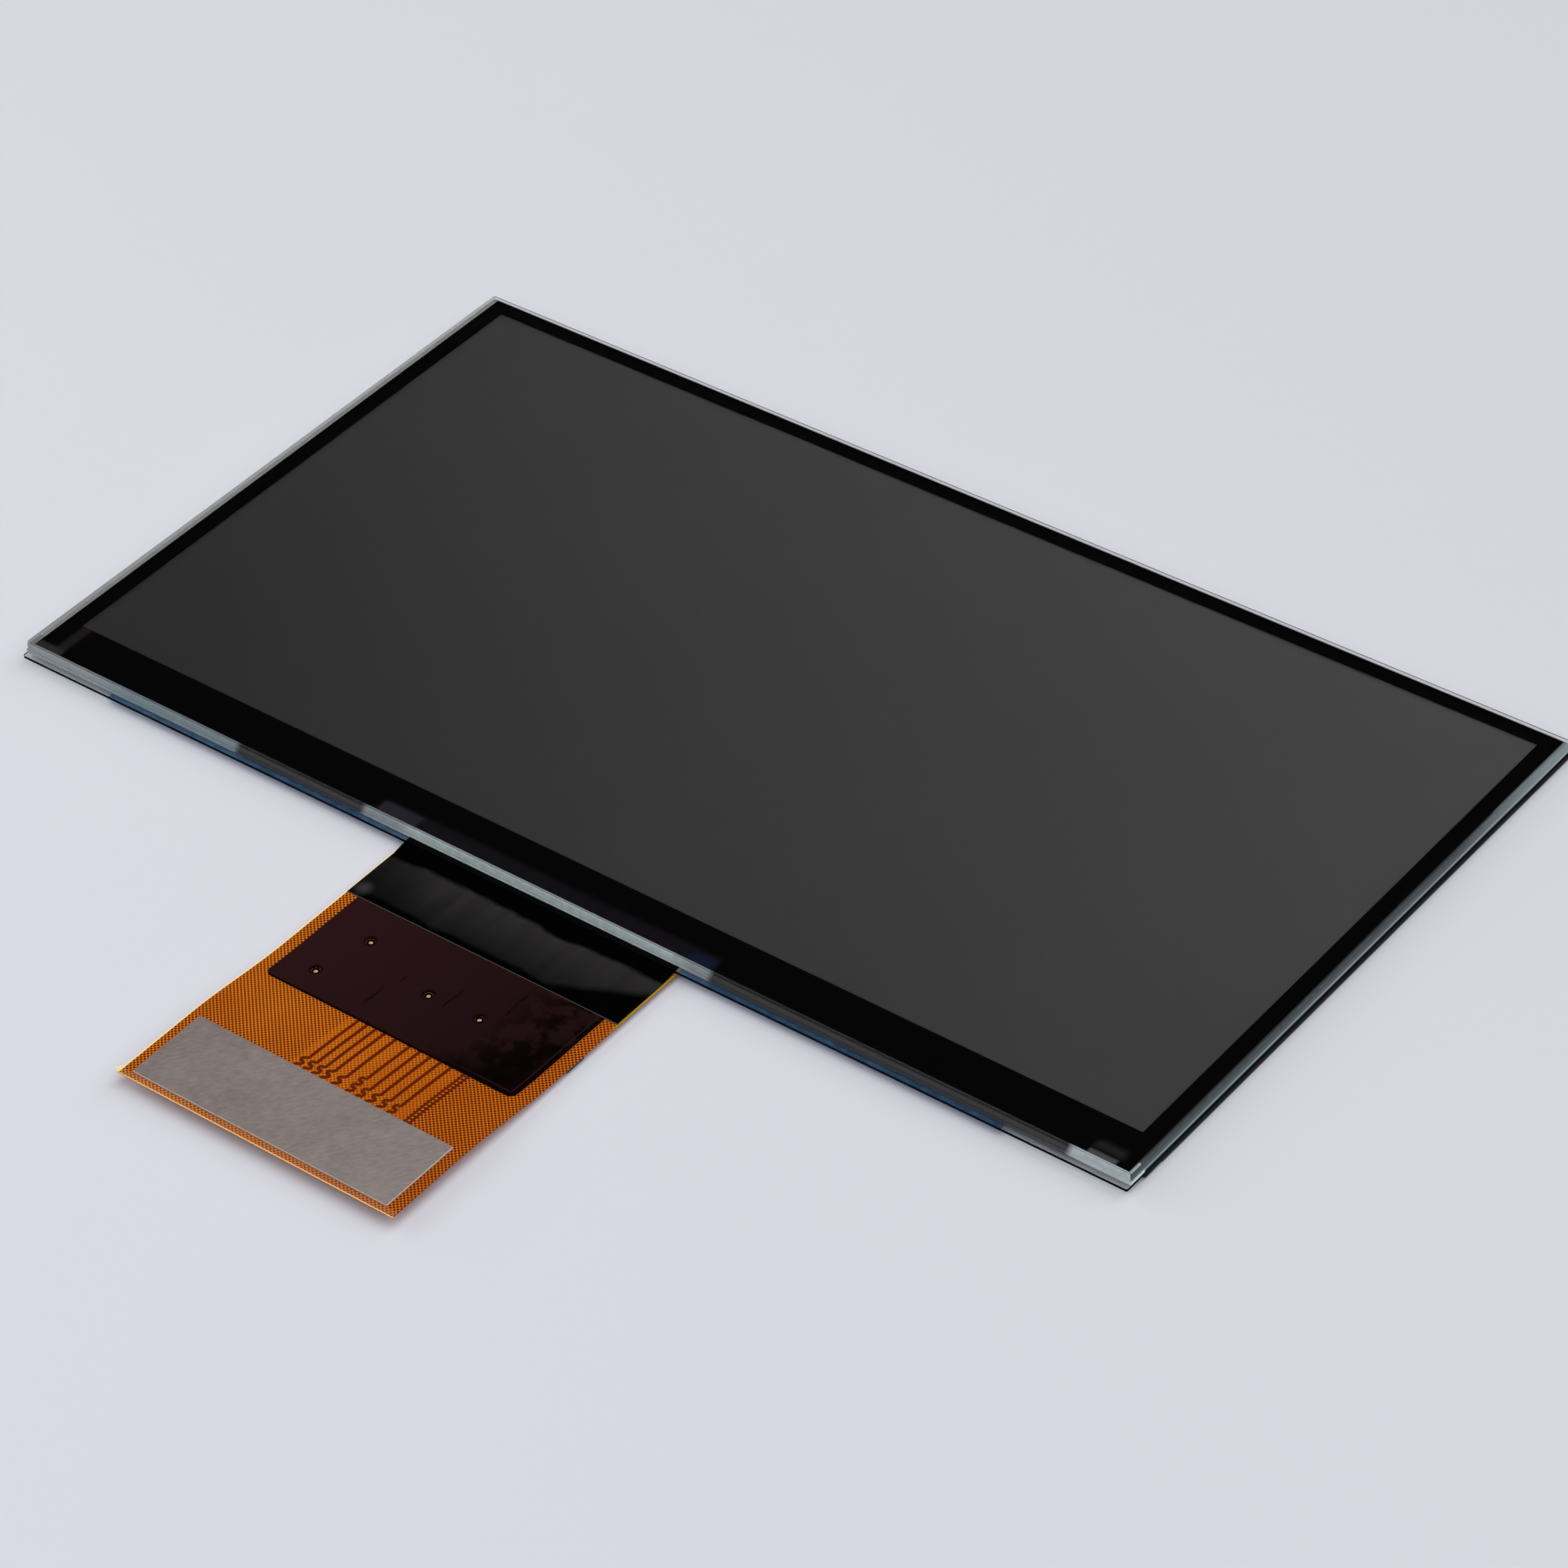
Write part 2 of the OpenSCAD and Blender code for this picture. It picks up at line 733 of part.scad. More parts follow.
cover_glass();
border_print();
optical_adhesive();
front_polarizer();
front_glass();
cell_seal();
liquid_crystal();
array_glass();
rear_polarizer();
ledge_filler();
driver_chips();
shade_tapes();
edge_sealant();
bond_strip();
flex_base();
flex_copper();
flex_coverlay();
ground_pads();
bond_tape();
shield_film();
stiffener_glue();
stiffener_plate();
plug_housing();
plug_contacts();
plug_clips();
memory_chip();
chip_capacitors();
capacitor_ends();
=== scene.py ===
import math
from collections import namedtuple

import bpy
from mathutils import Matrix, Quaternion, Vector, noise


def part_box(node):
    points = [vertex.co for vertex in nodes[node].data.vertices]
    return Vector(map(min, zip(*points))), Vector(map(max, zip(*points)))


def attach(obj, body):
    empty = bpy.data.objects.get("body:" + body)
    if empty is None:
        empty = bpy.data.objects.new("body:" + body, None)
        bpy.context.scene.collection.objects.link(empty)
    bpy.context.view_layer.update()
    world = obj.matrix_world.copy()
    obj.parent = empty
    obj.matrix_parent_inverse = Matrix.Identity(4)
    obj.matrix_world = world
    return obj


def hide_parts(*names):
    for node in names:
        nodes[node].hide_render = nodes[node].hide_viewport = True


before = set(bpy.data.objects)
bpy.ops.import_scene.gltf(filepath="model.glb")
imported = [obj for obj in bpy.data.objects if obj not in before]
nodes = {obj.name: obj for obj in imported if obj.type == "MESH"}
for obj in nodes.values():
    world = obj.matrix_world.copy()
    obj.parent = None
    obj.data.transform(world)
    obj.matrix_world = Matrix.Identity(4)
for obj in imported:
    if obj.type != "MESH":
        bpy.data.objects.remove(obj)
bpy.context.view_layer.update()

# The object's sizes are written in millimetres, the studio's in metres, which the scene is in
MM = 0.001
# Clearance that keeps two bonded faces from lying in one plane
BOND_GAP = 0.01 * MM
# Heights that differ by no more than this count as the same
SAME_HEIGHT = 0.001 * MM
# Thickness of the black tape, the shielding film and the glue under the stiffener
TAPE_T = 0.06 * MM
SHIELD_T = 0.08 * MM
GLUE_T = 0.05 * MM
# Width of the openings in the shielding film
OPENING = 1.2 * MM
# Length of one step of the curve in which the tail rises
RISE_STEP = 1.25 * MM
# How far in front of the ledge's lip the tape that comes down from it touches the tail
TAPE_HANG = 2.6 * MM
# Cut of the cover glass's corners and chamfer of its edges
CORNER_CUT = 0.3 * MM
EDGE_CHAMFER = 0.1 * MM

# Places on the object, read from the frame
cover_low, cover_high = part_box("cover_glass")
print_low, print_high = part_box("border_print")
array_low, array_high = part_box("array_glass")
adhesive_low, adhesive_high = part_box("optical_adhesive")
tape_low, tape_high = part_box("bond_tape")
shield_low, shield_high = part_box("shield_film")
film_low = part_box("flex_coverlay")[0]
# Right edge of the tail; its left edge lies opposite, but for the small corner that sticks out
tail_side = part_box("flex_base")[1].x
plate_low, plate_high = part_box("stiffener_plate")


def stretch(node, side):
    """Where the solids of a node on one side of the middle start and end across"""
    places = [v.co.x for v in nodes[node].data.vertices if v.co.x * side > 0]
    return min(places), max(places)


def upper_line(node):
    """Side view of a node's top: its height at each place along the tail, from front to back"""
    tops = {}
    for v in nodes[node].data.vertices:
        place = round(v.co.y, 6)
        tops[place] = max(tops.get(place, v.co.z), v.co.z)
    return sorted(tops.items())


def height_on(line, y):
    """Height of a side view at a place along the tail"""
    for (y_a, z_a), (y_b, z_b) in zip(line, line[1:]):
        if y <= y_b:
            return z_a + (z_b - z_a) * max(0, y - y_a) / (y_b - y_a)
    return line[-1][1]


# Stretches of the front edge that are painted dark, where the black tapes under the ledge show through
# and keep out the light from below
dark_stretches = [stretch("shade_tapes", -1), stretch("shade_tapes", 1)]
sealant_start = stretch("edge_sealant", -1)[0]
# Middles of the openings in the shielding film, from the pads in them
pad_corners = {}
for v in nodes["ground_pads"].data.vertices:
    near = next((c for c in pad_corners if (v.co.xy - Vector(c)).length < OPENING), tuple(v.co.xy))
    pad_corners.setdefault(near, []).append(v.co.xy)
openings = [sum(corners, Vector((0, 0))) / len(corners) for corners in pad_corners.values()]
tape_line = upper_line("bond_tape")
shield_line = upper_line("shield_film")
base_line = upper_line("flex_base")
# Where the tail starts to rise towards its far end
rise_start = max(y for y, z in base_line if z > base_line[-1][1] + SAME_HEIGHT) + RISE_STEP
# Where the tape that comes down from the ledge touches the tail
touch_down = array_low.y - TAPE_HANG


def linear(code):
    """A colour written as an sRGB hex value, in linear light"""
    shares = [int(code[i:i + 2], 16) / 255 for i in (1, 3, 5)]
    return (*(c / 12.92 if c <= 0.04045 else ((c + 0.055) / 1.055) ** 2.4 for c in shares), 1)


def add(tree, kind, inputs=None, **settings):
    """Adds a shader node with its settings; an input takes a value, a colour's hex value, a socket,
    or a node, whose first output then feeds it"""
    made = tree.nodes.new("ShaderNode" + kind)
    for name, value in settings.items():
        setattr(made, name, value)
    for key, value in (inputs or {}).items():
        if isinstance(value, bpy.types.Node):
            value = value.outputs[0]
        if isinstance(value, bpy.types.NodeSocket):
            tree.links.new(value, made.inputs[key])
        else:
            made.inputs[key].default_value = linear(value) if isinstance(value, str) else value
    return made


def finish(name, colour, roughness, **surface):
    """A new material with one Principled shader, its node tree and that shader"""
    material = bpy.data.materials.new(name)
    material.use_nodes = True
    shader = material.node_tree.nodes["Principled BSDF"]
    shader.inputs["Base Color"].default_value = linear(colour)
    shader.inputs["Roughness"].default_value = roughness
    for key, value in surface.items():
        shader.inputs[key.replace("_", " ")].default_value = value
    return material, material.node_tree, shader


Spot = namedtuple("Spot", "point x y z")


def whereabouts(tree):
    """The spot on the object that a material is shading: as a vector, and across, along and up"""
    coords = add(tree, "TexCoord")
    parts = add(tree, "SeparateXYZ", {0: coords.outputs["Object"]})
    return Spot(coords.outputs["Object"], *parts.outputs[:3])


def uprightness(tree):
    """How far a face looks up: 1 on top, 0 on an upright edge, -1 below"""
    face = add(tree, "NewGeometry")
    return add(tree, "SeparateXYZ", {0: face.outputs["True Normal"]}).outputs["Z"]


def between(tree, value, low, high, soft):
    """A mask for the values between two limits, with soft ends"""
    after = add(tree, "MapRange", {0: value, 1: low - soft / 2, 2: low + soft / 2})
    before = add(tree, "MapRange", {0: value, 1: high - soft / 2, 2: high + soft / 2, 3: 1.0, 4: 0.0})
    return add(tree, "Math", {0: after, 1: before}, operation="MULTIPLY")


# Levels of noise between which patches change over: gently, and more sharply
GENTLE = (0.3, 0.7)
SHARP = (0.35, 0.65)
# Setting for a change that starts and ends gently
EASED = {"interpolation_type": "SMOOTHSTEP"}


def patches(tree, point, size, levels, first=0.0, last=1.0, detail=3.0):
    """Patches of a size, which change over between two values where noise is between two levels"""
    waves = add(tree, "TexNoise", {"Vector": point, "Scale": 1 / size, "Detail": detail})
    return add(tree, "MapRange", {0: waves, 1: levels[0], 2: levels[1], 3: first, 4: last})


def coats(tree, tone, *layers):
    """A colour with others laid over it one after the other, each as far as its mask shows it"""
    for mask, colour in layers:
        tone = add(tree, "Mix", {0: mask, 6: tone, 7: colour}, data_type="RGBA").outputs[2]
    return tone


def paint(tree, shader, tone, *layers):
    """Gives a shader a base colour with coats over it"""
    tree.links.new(coats(tree, tone, *layers), shader.inputs["Base Color"])


def mottled(name, first, second, size, roughness, **surface):
    """A material whose colour wanders between two tones in patches of a size"""
    material, tree, shader = finish(name, first, roughness, **surface)
    paint(tree, shader, first, (patches(tree, whereabouts(tree).point, size, SHARP), second))
    return material


def pass_light(tree, shader, colour):
    """Lets lamp light through a clear solid, in a colour, and shows its surface to the eye"""
    ray = add(tree, "LightPath")
    through = add(tree, "BsdfTransparent", {"Color": colour})
    both = add(tree, "MixShader", {0: ray.outputs["Is Shadow Ray"], 1: shader, 2: through})
    tree.links.new(both.outputs[0], tree.nodes["Material Output"].inputs[0])


def dress(node, material):
    """Gives a solid of the frame its finish"""
    slots = nodes[node].data.materials
    slots.clear()
    slots.append(material)


def deselect():
    """Leaves nothing selected"""
    bpy.ops.object.select_all(action="DESELECT")


# Camera at the photograph's viewing angle
CAMERA_TARGET = Vector((10.56, -12.72, 2.16)) * MM
CAMERA_DISTANCE = 624.72 * MM
CAMERA_AZIMUTH = math.radians(40.73)
CAMERA_ELEVATION = math.radians(39.58)
CAMERA_ROLL = math.radians(-4.22)
CAMERA_LENS = 125.84
CAMERA_SENSOR = 36
towards = Vector((
    math.sin(CAMERA_AZIMUTH) * math.cos(CAMERA_ELEVATION),
    -math.cos(CAMERA_AZIMUTH) * math.cos(CAMERA_ELEVATION),
    math.sin(CAMERA_ELEVATION),
))
deselect()
bpy.ops.object.camera_add(location=CAMERA_TARGET + CAMERA_DISTANCE * towards)
camera = bpy.context.object
turn = towards.to_track_quat("Z", "Y") @ Quaternion((0, 0, 1), CAMERA_ROLL)
camera.rotation_euler = turn.to_euler()
camera.data.lens = CAMERA_LENS
camera.data.sensor_width = CAMERA_SENSOR
bpy.context.scene.camera = camera
bpy.context.scene.view_settings.view_transform = "Standard"

# Floor: matte paper, with painted light that makes it a little paler towards the front
FLOOR_SIZE = 6
FLOOR_FADE = 0.25
deselect()
bpy.ops.mesh.primitive_plane_add(size=FLOOR_SIZE, location=(0, 0, -BOND_GAP))
floor = bpy.context.object
floor.name = "floor"
bpy.ops.object.transform_apply(location=True)
floor_paper, tree, shader = finish("floor_paper", "#dcdde2", 0.8, Specular_IOR_Level=0.1)
fade = add(tree, "MapRange", {0: whereabouts(tree).y, 1: -FLOOR_FADE, 2: FLOOR_FADE})
paint(tree, shader, "#dddee9", (fade, "#c5c6ca"))
floor.data.materials.append(floor_paper)


def lamp(name, place, size, power):
    """A square soft lamp that faces the object"""
    deselect()
    bpy.ops.object.light_add(type="AREA", location=place)
    made = bpy.context.object
    made.name = name
    made.data.shape = "SQUARE"
    made.data.size = size
    made.data.energy = power
    made.rotation_euler = Vector(place).to_track_quat("Z", "Y").to_euler()


# Large softbox overhead, one at the back and one at the left whose shadows fall in front of the
# object and to its right
lamp("top_softbox", (-0.05, 0.25, 1.4), 1.1, 5.5)
lamp("back_softbox", (0.4, 0.9, 0.8), 1.2, 8)
lamp("left_softbox", (-1.1, -0.1, 0.5), 0.8, 5.5)

# World: a dim ceiling, a pale screen high up on the side of the camera, and darkness elsewhere
DARKNESS = 0.012
CEILING_LIGHT = 0.35
SCREEN_LIGHT = 1.45
# Share of the screen's light that comes from low down
SCREEN_FOOT = 0.05
SCREEN_WAY = (0.65, -0.76, 0)
# Where the ceiling sets in and the screen rises, as heights, and how far round the screen reaches
CEILING_START = (0.86, 0.95)
SCREEN_RISE = (0.27, 0.5)
SCREEN_REACH = (-0.1, 0.6)
world = bpy.data.worlds.new("studio")
bpy.context.scene.world = world
world.use_nodes = True
tree = world.node_tree
tree.nodes.clear()
way = add(tree, "TexCoord").outputs["Generated"]
height = add(tree, "SeparateXYZ", {0: way}).outputs["Z"]
ceiling = add(tree, "MapRange", {
    0: height, 1: CEILING_START[0], 2: CEILING_START[1], 3: DARKNESS, 4: CEILING_LIGHT,
}, **EASED)
facing = add(tree, "VectorMath", {0: way, 1: SCREEN_WAY}, operation="DOT_PRODUCT").outputs["Value"]
screen = add(tree, "MapRange", {
    0: facing, 1: SCREEN_REACH[0], 2: SCREEN_REACH[1], 3: 0.0, 4: SCREEN_LIGHT,
}, **EASED)
lifted = add(tree, "MapRange", {
    0: height, 1: SCREEN_RISE[0], 2: SCREEN_RISE[1], 3: SCREEN_FOOT, 4: 1.0,
}, **EASED)
screen = add(tree, "Math", {0: screen, 1: lifted}, operation="MULTIPLY")
glow = add(tree, "Math", {0: ceiling, 1: screen}, operation="MAXIMUM")
light = add(tree, "Background", {"Color": (1, 1, 1, 1), "Strength": glow})
add(tree, "OutputWorld", {0: light})

# Colour of the lamp light that comes through frosted edges and through the tail's films
EDGE_LIGHT = "#c0c4c4"
FILM_LIGHT = "#c89070"
# Stretch along the right side over which painted light makes its edges lighter, towards the back
BACK_RIGHT = (20 * MM, 38 * MM)
# How far a mask or a cutter reaches past an edge that it takes in
BEYOND = 1 * MM
GLASS_IOR = 1.52


def glass(name, tint):
    """Clear polished glass with a tint"""
    material, tree, shader = finish(name, tint, 0.0, IOR=GLASS_IOR, Transmission_Weight=1.0)
    pass_light(tree, shader, tint)
    return material


# Polished cover glass: clear, with a faint reflection
clear_glass = glass("polished_float_glass", "#fcfcfc")
# Array glass: a grey cast from its fine wiring
wired_glass = glass("wired_array_glass", "#f0f2f3")

# Bonded face: glass against adhesive of the same index, which the eye looks straight through
bonded = bpy.data.materials.new("bonded_glass_face")
bonded.use_nodes = True
tree = bonded.node_tree
tree.nodes.clear()
through = add(tree, "BsdfTransparent", {"Color": "#fcfcfc"})
add(tree, "OutputMaterial", {0: through})

# How far the ends of the dark stretches move to the left on the way down, for each unit of height
DARK_SLOPE = 0.45
# Softness of the ends of the stretches along the front: dark, before the sealant, over the tail
DARK_SOFT = 0.8 * MM
SEALANT_SOFT = 8 * MM
TAIL_SOFT = 3 * MM
# Grit of the frosted edges, and how far it dulls them where they are worn
GRIT = 0.9 * MM
GRIT_LEVELS = (0.35, 0.7)
WORN = 0.25


def dark_front(tree, spot):
    """A mask for the stretches with black tape behind the edge, whose ends slope"""
    sloped = add(tree, "Math", {0: spot.z, 1: -DARK_SLOPE, 2: spot.x}, operation="MULTIPLY_ADD")
    sloped = add(tree, "Math", {0: sloped, 1: DARK_SLOPE * cover_high.z}, operation="ADD")
    masks = [between(tree, sloped, start, end, DARK_SOFT) for start, end in dark_stretches]
    return add(tree, "Math", {0: masks[0], 1: masks[1]}, operation="ADD")


def frosted_edge(tree, left_end, sealed, over_tail, right_end, dark):
    """Colour of a clear edge along the front, with painted light: pale at its ends, deeper before
    the sealant, paler over the tail, worn, and with painted shade before black tape"""
    spot = whereabouts(tree)
    before_sealant = between(tree, spot.x, sealant_start, dark_stretches[0][1], SEALANT_SOFT)
    before_tail = between(tree, spot.x, -tail_side, tail_side, TAIL_SOFT)
    past_tail = add(tree, "MapRange", {0: spot.x, 1: dark_stretches[1][0], 2: dark_stretches[1][1]})
    worn = patches(tree, spot.point, GRIT, GRIT_LEVELS, last=WORN)
    return coats(
        tree, left_end, (before_sealant, sealed), (before_tail, over_tail), (past_tail, right_end),
        (worn, "#6e787a"), (dark_front(tree, spot), dark),
    )


# Ground edge of the cover glass: frosted grey-green, with painted shade along the right side that
# lightens towards its foot and its back, painted light along the left side, and in front painted
# light, with painted shade where black tape shows through

# Depths below the top between which the dark gets deeper
DARK_DEPTHS = (0.35 * MM, 0.15 * MM)
# Softness of the change from one side to the next
SIDE_SOFT = 0.1 * MM
ground, tree, shader = finish("ground_glass_edge", "#8c9798", 0.45, Specular_IOR_Level=0.15)
spot = whereabouts(tree)
upper = add(tree, "MapRange", {
    0: spot.z, 1: cover_high.z - DARK_DEPTHS[0], 2: cover_high.z - DARK_DEPTHS[1],
})
dark_tone = coats(tree, "#434242", (upper, "#202020"))
front_tone = frosted_edge(tree, "#a0a6aa", "#86969c", "#deeff1", "#c2d0d3", dark_tone)
# Painted light: the right side lighter towards its foot and its back, the left side paler towards the
# back
foot = add(tree, "MapRange", {0: spot.z, 1: cover_high.z - EDGE_CHAMFER, 2: cover_low.z})
back_right = add(tree, "MapRange", {0: spot.y, 1: BACK_RIGHT[0], 2: BACK_RIGHT[1]})
side_tone = coats(tree, "#3b4042", (foot, "#5a6a70"), (back_right, "#839399"))
front_end = cover_low.y + EDGE_CHAMFER
front = add(tree, "MapRange", {0: spot.y, 1: front_end, 2: front_end + SIDE_SOFT, 3: 1.0, 4: 0.0})
left_end = cover_low.x + CORNER_CUT - SIDE_SOFT / 2
left = add(tree, "MapRange", {0: spot.x, 1: left_end, 2: left_end + SIDE_SOFT, 3: 1.0, 4: 0.0})
far = add(tree, "MapRange", {0: spot.y, 1: cover_low.y, 2: cover_high.y})
left_tone = coats(tree, "#c8cac8", (far, "#edebec"))
paint(tree, shader, side_tone, (front, front_tone), (left, left_tone))
pass_light(tree, shader, EDGE_LIGHT)

# Ground back edge of the cover glass: frosted, and bright where light comes in from behind, through
# its translucent share and as painted light in its near-white tone
LIT_SHARE = 0.7
# Depths below the top between which it gets duller
BROW_DEPTHS = (0.55 * MM, 0.35 * MM)
lit_edge, tree, shader = finish("ground_glass_back_edge", "#e8e8ea", 0.45, Specular_IOR_Level=0.15)
brow = add(tree, "MapRange", {
    0: whereabouts(tree).z, 1: cover_high.z - BROW_DEPTHS[0], 2: cover_high.z - BROW_DEPTHS[1],
})
tone = coats(tree, "#f4f3f5", (brow, "#8c8c90"))
paint(tree, shader, tone)
shining = add(tree, "BsdfTranslucent", {"Color": tone})
both = add(tree, "MixShader", {0: LIT_SHARE, 1: shader, 2: shining})
pass_light(tree, both, EDGE_LIGHT)

# Clear resin in the gap over the ledge: frosted like the glass edge in front, with its painted light,
# and painted shade on top where black tape lies below
resin, tree, shader = finish("clear_cured_resin", "#7c898b", 0.4)
front_tone = frosted_edge(tree, "#b2b9bc", "#9aaeb9", "#e5f7f9", "#d4e2e5", "#414347")
top_tone = frosted_edge(tree, "#686f71", "#5c6568", "#7c8486", "#a2aaac", "#0a0b0c")
top = add(tree, "Math", {0: uprightness(tree), 1: 0.5}, operation="GREATER_THAN")
paint(tree, shader, front_tone, (top, top_tone))
pass_light(tree, shader, "#b4b8b8")
dress("ledge_filler", resin)

# Clear adhesive: its cut edge is the light line along the sides of the panel
ADHESIVE_PATCH = 2 * MM
adhesive_edge, tree, shader = finish("clear_adhesive_edge", "#8b9ba1", 0.4)
pulled = patches(tree, whereabouts(tree).point, ADHESIVE_PATCH, GENTLE)
paint(tree, shader, "#92a3ab", (pulled, "#a4b7bd"))
pass_light(tree, shader, EDGE_LIGHT)

# Printed ink under the glass: deep black, with faint patches where light gets behind it
INK_BLACK = "#040405"
# Each patch in millimetres, from and to across, from and to along, then its softness and colour
INK_PATCHES = (
    # Over the tail, paler at the left end and bluish at the right
    (-25, 23.6, -44, -40.4, 0.8, "#131013"),
    (-25.4, -19.6, -44, -40.6, 0.5, "#26242a"),
    (20.4, 23.4, -44, -41, 1, "#121a2e"),
    # At the left front corner
    (-77.1, -75.7, -44, -36.4, 0.5, "#1d191b"),
    (-81, -75.7, -44, -41.4, 0.6, "#2b282a"),
    # Near the right front corner, along the right side and at its back
    (74.2, 78, -41.3, -40.1, 0.8, "#1f1f20"),
    (79.58, 81, -45, 45, 0.12, "#3a3b3b"),
    (79.58, 81, 28, 45, 0.12, "#6e7070"),
    (74.2, 77.8, -43, -41.7, 0.4, "#484949"),
)
ink, tree, shader = finish("screen_printed_ink", INK_BLACK, 0.6, Specular_IOR_Level=0.0)
spot = whereabouts(tree)
layers = []
for x_low, x_high, y_low, y_high, soft, colour in INK_PATCHES:
    across = between(tree, spot.x, x_low * MM, x_high * MM, soft * MM)
    along = between(tree, spot.y, y_low * MM, y_high * MM, soft * MM)
    patch = add(tree, "Math", {0: across, 1: along}, operation="MULTIPLY")
    layers.append((patch, colour))
paint(tree, shader, INK_BLACK, *layers)
dress("border_print", ink)

# Polarizer film: neutral grey, with a painted sheen that makes it paler towards the back right, a trace
# of unevenness, and margins outside the print painted lighter with the light that shows through there
FILM_WAVE = 40 * MM
# Shares of the way to the paler grey of the painted sheen: across, along, and by unevenness
PALER_ACROSS = 0.56
PALER_ALONG = 0.44
UNEVEN = 0.02
# Margin of the film at the right, and how softly the margins change over
RIGHT_MARGIN = 1.2 * MM
RIGHT_SOFT = 0.2 * MM
LEFT_SOFT = 0.1 * MM
polarizer, tree, shader = finish("polarizer_film", "#3a3a3a", 0.5, Specular_IOR_Level=0.0)
spot = whereabouts(tree)
share = add(tree, "MapRange", {0: spot.x, 1: print_low.x, 2: print_high.x, 3: 0.0, 4: PALER_ACROSS})
along = add(tree, "MapRange", {0: spot.y, 1: print_low.y, 2: print_high.y, 3: 0.0, 4: PALER_ALONG})
unevenness = patches(tree, spot.point, FILM_WAVE, GENTLE, -UNEVEN, UNEVEN, detail=2.0)
for part in (along, unevenness):
    share = add(tree, "Math", {0: share, 1: part}, operation="ADD")
back_right = add(tree, "MapRange", {0: spot.y, 1: BACK_RIGHT[0], 2: BACK_RIGHT[1]})
margin_tone = coats(tree, "#5a5c5c", (back_right, "#a4a5a5"))
right_start = print_high.x - RIGHT_MARGIN
right = add(tree, "MapRange", {0: spot.x, 1: right_start, 2: right_start + RIGHT_SOFT})
left = add(tree, "MapRange", {0: spot.x, 1: print_low.x, 2: print_low.x + LEFT_SOFT, 3: 1.0, 4: 0.0})
paint(tree, shader, "#2e2e2e", (share, "#4e4e4e"), (right, margin_tone), (left, "#949493"))
dress("front_polarizer", polarizer)

# Rear polarizer: smooth near black film below, with a brown-purple cut edge
CUT_PATCH = 4 * MM
rear_film, tree, shader = finish("rear_polarizer_film", "#18181a", 0.3, Specular_IOR_Level=0.2)
spot = whereabouts(tree)
unevenness = add(tree, "TexNoise", {"Vector": spot.point, "Scale": 1 / FILM_WAVE, "Detail": 2.0})
film_tone = coats(tree, "#161618", (unevenness, "#1d1d20"))
pulled = add(tree, "TexNoise", {"Vector": spot.point, "Scale": 1 / CUT_PATCH, "Detail": 3.0})
edge_tone = coats(tree, "#564a50", (pulled, "#483e43"))
below = add(tree, "Math", {0: uprightness(tree), 1: -0.5}, operation="LESS_THAN")
paint(tree, shader, edge_tone, (below, film_tone))
dress("rear_polarizer", rear_film)

# Scored edge of the array glass: near black, with the dark panel behind it
scored = mottled("scored_glass_edge", "#0c0e10", "#14171a", 3 * MM, 0.4, Specular_IOR_Level=0.0)

# Blue sealant: a cloudy blue bead, which tints the light that gets through
blue_sealant = mottled("blue_sealant", "#345c80", "#204463", 1.2 * MM, 0.3)
pass_light(blue_sealant.node_tree, blue_sealant.node_tree.nodes["Principled BSDF"], "#7ea0c4")
dress("edge_sealant", blue_sealant)

# Polyimide cover film: amber over a cross-hatched copper plane, traces as dark ridges, pale where only
# clear film is left along its margins, and a painted sheen in lighter patches and towards the left
HATCH_PITCH = 0.39 * MM
HATCH_TURN = math.radians(45)
# Radius of a hole in the hatching, inside and outside its soft rim, as shares of the pitch
HATCH_HOLE = (0.29, 0.45)
# Share of the holes' dark that is left between the traces
SPARSE = 0.65
# Height of the traces' ridges, and the shares of it between which their dark sets in
RIDGE = 0.015 * MM
RIDGE_FOOT = (0.4 * RIDGE, 0.7 * RIDGE)
# Stretch across the tail with the traces, and how softly it ends, across and along
TRACES = (-5.2 * MM, 10.9 * MM)
TRACES_SOFT = 0.4 * MM
TRACES_END_SOFT = 1 * MM
# Stretch across the tail over which the painted sheen fades and the amber gets deeper, and by what share
DEEPENING = (-14 * MM, 12 * MM)
DEEPER_SHARE = 0.62
# Size of the lighter patches of painted sheen
SHEEN = 7 * MM
# Clear margins: at the left, at the right beside the tape, and at the far end
CLEAR_LEFT = 0.22 * MM
CLEAR_RIGHT = 0.3 * MM
CLEAR_END = 0.12 * MM
LEFT_END_SOFT = 0.08 * MM
RIGHT_END_SOFT = 0.1 * MM
# Where the right margin sets in, in front of the tape's end and behind it
MARGIN_START = (-2 * MM, 1 * MM)
# How much paler the strip past the stiffener is, and its softness
STRIP_SHARE = 0.11
STRIP_SOFT = 0.1 * MM
amber, tree, shader = finish("polyimide_cover_film", "#c06a1c", 0.32, Specular_IOR_Level=0.15)
spot = whereabouts(tree)
sheen_patches = patches(tree, spot.point, SHEEN, GENTLE, detail=2.0)
deeper = add(tree, "MapRange", {0: spot.x, 1: DEEPENING[0], 2: DEEPENING[1], 3: 0.0, 4: DEEPER_SHARE})
turned = add(tree, "VectorRotate", {"Vector": spot.point, "Angle": HATCH_TURN}, rotation_type="Z_AXIS")
lattice = add(
    tree, "TexVoronoi", {"Vector": turned, "Scale": 1 / HATCH_PITCH, "Randomness": 0.0},
    voronoi_dimensions="2D",
)
dots = add(tree, "MapRange", {
    0: lattice.outputs["Distance"], 1: HATCH_HOLE[0], 2: HATCH_HOLE[1], 3: 1.0, 4: 0.0,
})
across_traces = between(tree, spot.x, *TRACES, TRACES_SOFT)
along_traces = between(tree, spot.y, plate_low.y, shield_low.y, TRACES_END_SOFT)
beside_traces = add(tree, "Math", {0: across_traces, 1: along_traces}, operation="MULTIPLY")
